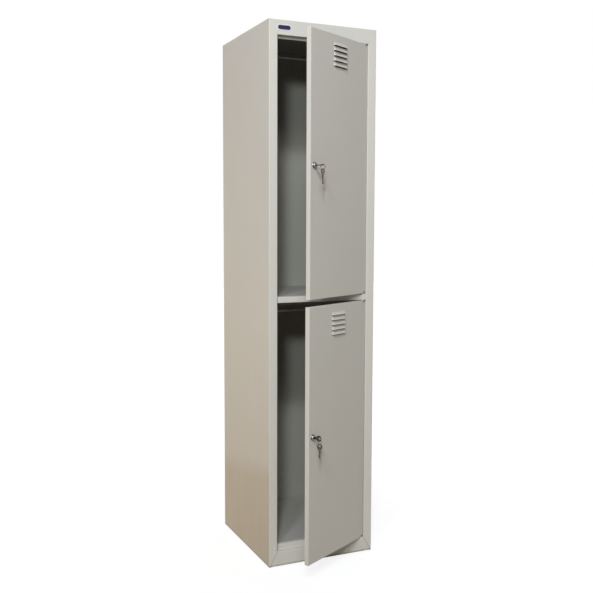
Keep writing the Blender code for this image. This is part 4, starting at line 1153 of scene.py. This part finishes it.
class LOCKER_OT_keys(Undoable, Operator):
    """Cut the keys and wind the split rings"""
    bl_idname = "locker.keys"
    bl_label = "Keys and Rings"

    def execute(self, context):
        for tier in TIERS:
            level = tier == LEVEL_TIER
            place = lock_frame(tier)
            ring_axis = ACROSS if level else OUT
            self.key(tier + "_key", place, OUT, ACROSS if level else -UP, 0.0)
            self.key(tier + "_spare_key", place, UP, ring_axis, 1.0 if level else 0.5)
            self.ring(tier + "_key_ring", place, ring_axis)
        return {"FINISHED"}

    def outline(self):
        """Blade with its cuts, neck and round bow, out from the plug's face; returns it with its two ends."""
        half = 3.5 * MM
        bow = 10 * MM
        tip = -20 * MM
        chamfer = 2.5 * MM
        neck = 8 * MM
        pitch = 3 * MM
        valley = 0.35 * MM
        slope = 1.2 * MM
        cut_shares = (0.30, 0.55, 0.40, 0.65, 0.35)
        outline = [(neck, -half), (tip + chamfer, -half), (tip, -half + chamfer), (tip, half - chamfer),
                   (tip + chamfer, half)]
        for k, share in enumerate(cut_shares):
            cut = tip + chamfer + pitch * (k + 0.5)
            deep = half - half * share
            outline += [(cut - slope, half), (cut - valley, deep), (cut + valley, deep), (cut + slope, half)]
        centre = neck + math.sqrt(bow ** 2 - half ** 2)
        meet = math.asin(half / bow)
        outline += circle(centre, bow, 56, math.pi - meet, -2 * (math.pi - meet))
        return outline, tip, centre + bow

    def key(self, node, place, along, up, handled):
        """A key whose blade points against one direction and whose cuts face another."""
        outline, tip, end = self.outline()
        low, high = local_box(node, place)
        thick = 1.8 * MM
        eye_inset = 6.2 * MM
        eye_radius = 4.0 * MM
        eye = circle(end - eye_inset, eye_radius, 40)
        groove = (24 * MM, 1.1 * MM, 0.7 * MM)
        groove_middle = (-9 * MM, -0.9 * MM)
        grooves = [slab(groove, (*groove_middle, side * thick / 2)) for side in (-1, 1)]
        mesh = bevelled(carved(blank([outline, eye], thick), *grooves), 0.22 * MM)
        facing = Matrix((along, up, along.cross(up))).transposed().to_4x4()
        centre = (low + high) / 2 - along * (end + tip) / 2
        mesh.transform(place @ Matrix.Translation(centre) @ facing)
        stand_in(node, marked(shaded(mesh, angle=35), "handled", handled))

    def ring(self, node, place, along):
        """A split ring: two turns of flat wire, side by side."""
        low, high = local_box(node, place)
        centre = (low + high) / 2
        turns = 2
        steps = 96
        wide = 0.88 * MM
        thin = 0.42 * MM
        gap_share = 1.02
        radius = (high.z - low.z) / 2 - 0.9 * MM
        across = along.orthogonal().normalized()
        aside = along.cross(across)
        bm = bmesh.new()
        sections = []
        for i in range(steps * turns + 1):
            angle = 2 * math.pi * i / steps
            shift = along * (i / (steps * turns) - 0.5) * 2 * thin * gap_share
            spoke = across * math.cos(angle) + aside * math.sin(angle)
            sections.append([bm.verts.new(centre + shift + spoke * (radius + wide * a) + along * thin * b)
                             for a, b in circle(0, 1.0, 10)])
        for first, second in zip(sections, sections[1:]):
            band(bm, first, second)
        bm.faces.new(sections[0])
        bm.faces.new(sections[-1][::-1])
        stand_in(node, marked(shaded(closed_mesh(bm, place), angle=60), "dull", 1.0))


class LOCKER_OT_plate(Undoable, Operator):
    """Set the small bare plate on the top rail"""
    bl_idname = "locker.plate"
    bl_label = "Small Plate"

    def execute(self, context):
        size = context.scene.locker_plate
        rim = self.outline(size.width, size.height)
        inner = self.outline(size.width - 2 * size.border, size.height - 2 * size.border)
        field_share = 0.7
        border = bevelled(self.layer([rim, inner], size, size.thickness), 0.25 * MM, segments=3)
        add_piece("plate_border", shaded(border, angle=35), "plate_border", "carcass")
        field = self.layer([inner], size, size.thickness * field_share)
        add_piece("plate_field", shaded(field, angle=35), "plate_enamel", "carcass")
        return {"FINISHED"}

    def outline(self, width, height):
        x = width / 2
        z = height / 2
        ease_share = 0.92
        ease = z * ease_share
        return eased([(-x, -z, ease), (x, -z, ease), (x, z, ease), (-x, z, ease)], steps=8, closed=True)

    def layer(self, loops, size, thickness):
        """A flat layer that lies on the top rail."""
        centre = Vector((CARCASS_LOW.x + size.across, CARCASS_LOW.y, CARCASS_HIGH.z - size.drop))
        return blank(loops, thickness, Matrix.Translation(centre + OUT * (thickness / 2)) @ Z_TO_FRONT)


class LOCKER_OT_studio(Undoable, Operator):
    """Set the floor, the surround, the lamps and the camera"""
    bl_idname = "locker.studio"
    bl_label = "Studio"

    # Each lamp's place, its size and its colour; its power is a setting of the same name
    LAMPS = {
        "broad": ((-2.31, -2.76, 4.0), 0.6, (1.07, 1.0, 1.22)),
        "front": ((-1.23, -3.38, 4.0), 1.2, (0.98, 1.0, 0.94)),
        "high": ((-1.63, -3.21, 4.0), 0.35, (0.92, 1.0, 1.0)),
        "level": ((-1.75, -3.15, 2.2), 0.35, (0.90, 1.0, 0.975)),
        "bounce": ((-2.10, 1.60, 0.55), 1.2, (1.24, 1.0, 0.62)),
        "rear": ((2.4, 3.2, 3.0), 1.6, (1.0, 1.0, 1.0)),
    }
    LAMP_TARGET = Vector((0, 0, 1.1))
    CAMERA_PLACE = CARCASS_LOW + Vector((-1.01255, -2.48016, 1.14794))
    CAMERA_TURN = (85.0191, -0.1483, -24.1133)

    def execute(self, context):
        studio = context.scene.locker_studio
        context.scene.view_settings.view_transform = "Standard"
        self.surround(context.scene, studio)
        self.floor(studio)
        for name, (place, size, colour) in self.LAMPS.items():
            self.lamp(name + "_lamp", place, size, getattr(studio, name), colour)
        self.camera(context.scene, studio)
        return {"FINISHED"}

    def seen(self, board):
        """1 where the background is seen directly, in metal or through glass."""
        seen = 0.0
        for ray in ("Is Camera Ray", "Is Glossy Ray", "Is Transmission Ray"):
            seen = board.maths("MAXIMUM", seen, board.node("ShaderNodeLightPath", {}, ray))
        return seen

    def surround(self, scene, studio):
        world = bpy.data.worlds.new("studio_surround")
        world.use_nodes = True
        scene.world = world
        board = Board(world.node_tree)
        background = world.node_tree.nodes["Background"]
        board.feed(background.inputs["Color"], (1, 1, 1, 1))
        seen = self.seen(board)
        board.feed(background.inputs["Strength"], seen + (1 - seen) * studio.surround)

    def floor(self, studio):
        """White where it is seen, shaded a little under the locker, and its own colour to the light."""
        reach = 12.0
        foot = CAD_BOX[0][2] - 0.2 * MM
        shade_near = 0.35
        shade_far = 1.4
        bm = bmesh.new()
        corners = ((-reach, -reach), (reach, -reach), (reach, reach), (-reach, reach))
        bm.faces.new([bm.verts.new((x, y, foot)) for x, y in corners])
        mesh = mesh_from(bm)
        coat = Finish("studio_floor", {"Roughness": 0.9, "Specular IOR Level": 0.1})
        seen = self.seen(coat)
        coat.colour(coat.mix(seen, studio.floor, (0.95, 0.95, 0.95)), 0.985 + coat.noise(0.4, 2.0) * 0.03)
        glow = coat.node("ShaderNodeEmission", {"Color": (1, 1, 1, 1), "Strength": 1.07})
        distance = coat.node("ShaderNodeVectorMath", {0: coat.place}, "Value", operation="LENGTH")
        share = coat.span(distance, shade_near, shade_far, start=0.80) * seen
        blend = coat.node("ShaderNodeMixShader", {0: share, 1: Signal(coat, coat.shader.outputs[0]), 2: glow})
        coat.feed(coat.tree.nodes["Material Output"].inputs["Surface"], blend)
        mesh.materials.append(coat.material)
        link("studio_floor", mesh)

    def lamp(self, name, place, size, power, colour):
        lamp = bpy.data.lights.new(name, "AREA")
        lamp.shape = "DISK"
        lamp.size = size
        lamp.energy = power
        lamp.color = colour
        stand = link(name, lamp)
        stand.location = place
        stand.rotation_euler = (self.LAMP_TARGET - stand.location).to_track_quat("-Z", "Y").to_euler()

    def camera(self, scene, studio):
        lens = bpy.data.cameras.new("camera")
        lens.lens = studio.focal
        lens.sensor_width = 36
        stand = link("camera", lens)
        stand.location = self.CAMERA_PLACE
        stand.rotation_euler = [math.radians(degrees) for degrees in self.CAMERA_TURN]
        scene.camera = stand


OPERATORS = (LOCKER_OT_carcass, LOCKER_OT_doors, LOCKER_OT_welds, LOCKER_OT_hinges, LOCKER_OT_rails,
             LOCKER_OT_feet, LOCKER_OT_locks, LOCKER_OT_keys, LOCKER_OT_plate, LOCKER_OT_studio)


class LOCKER_PT_dresser(Panel):
    """The dresser's settings and its operators"""
    bl_idname = "LOCKER_PT_dresser"
    bl_label = "Clothes Locker"
    bl_space_type = "VIEW_3D"
    bl_region_type = "UI"
    bl_category = "Locker"

    def draw(self, context):
        for name, group in SETTINGS.items():
            box = self.layout.box()
            box.label(text=group.__doc__)
            settings = getattr(context.scene, name)
            for prop in group.__annotations__:
                box.prop(settings, prop)
        for operator in OPERATORS:
            self.layout.operator(operator.bl_idname)


CLASSES = (*SETTINGS.values(), *OPERATORS, LOCKER_PT_dresser)


def register():
    for cls in CLASSES:
        bpy.utils.register_class(cls)
    for name, group in SETTINGS.items():
        setattr(bpy.types.Scene, name, PointerProperty(type=group))


def unregister():
    for name in SETTINGS:
        delattr(bpy.types.Scene, name)
    for cls in reversed(CLASSES):
        bpy.utils.unregister_class(cls)


def main():
    register()
    for operator in OPERATORS:
        group, name = operator.bl_idname.split(".")
        getattr(getattr(bpy.ops, group), name)()


if __name__ == "__main__":
    main()
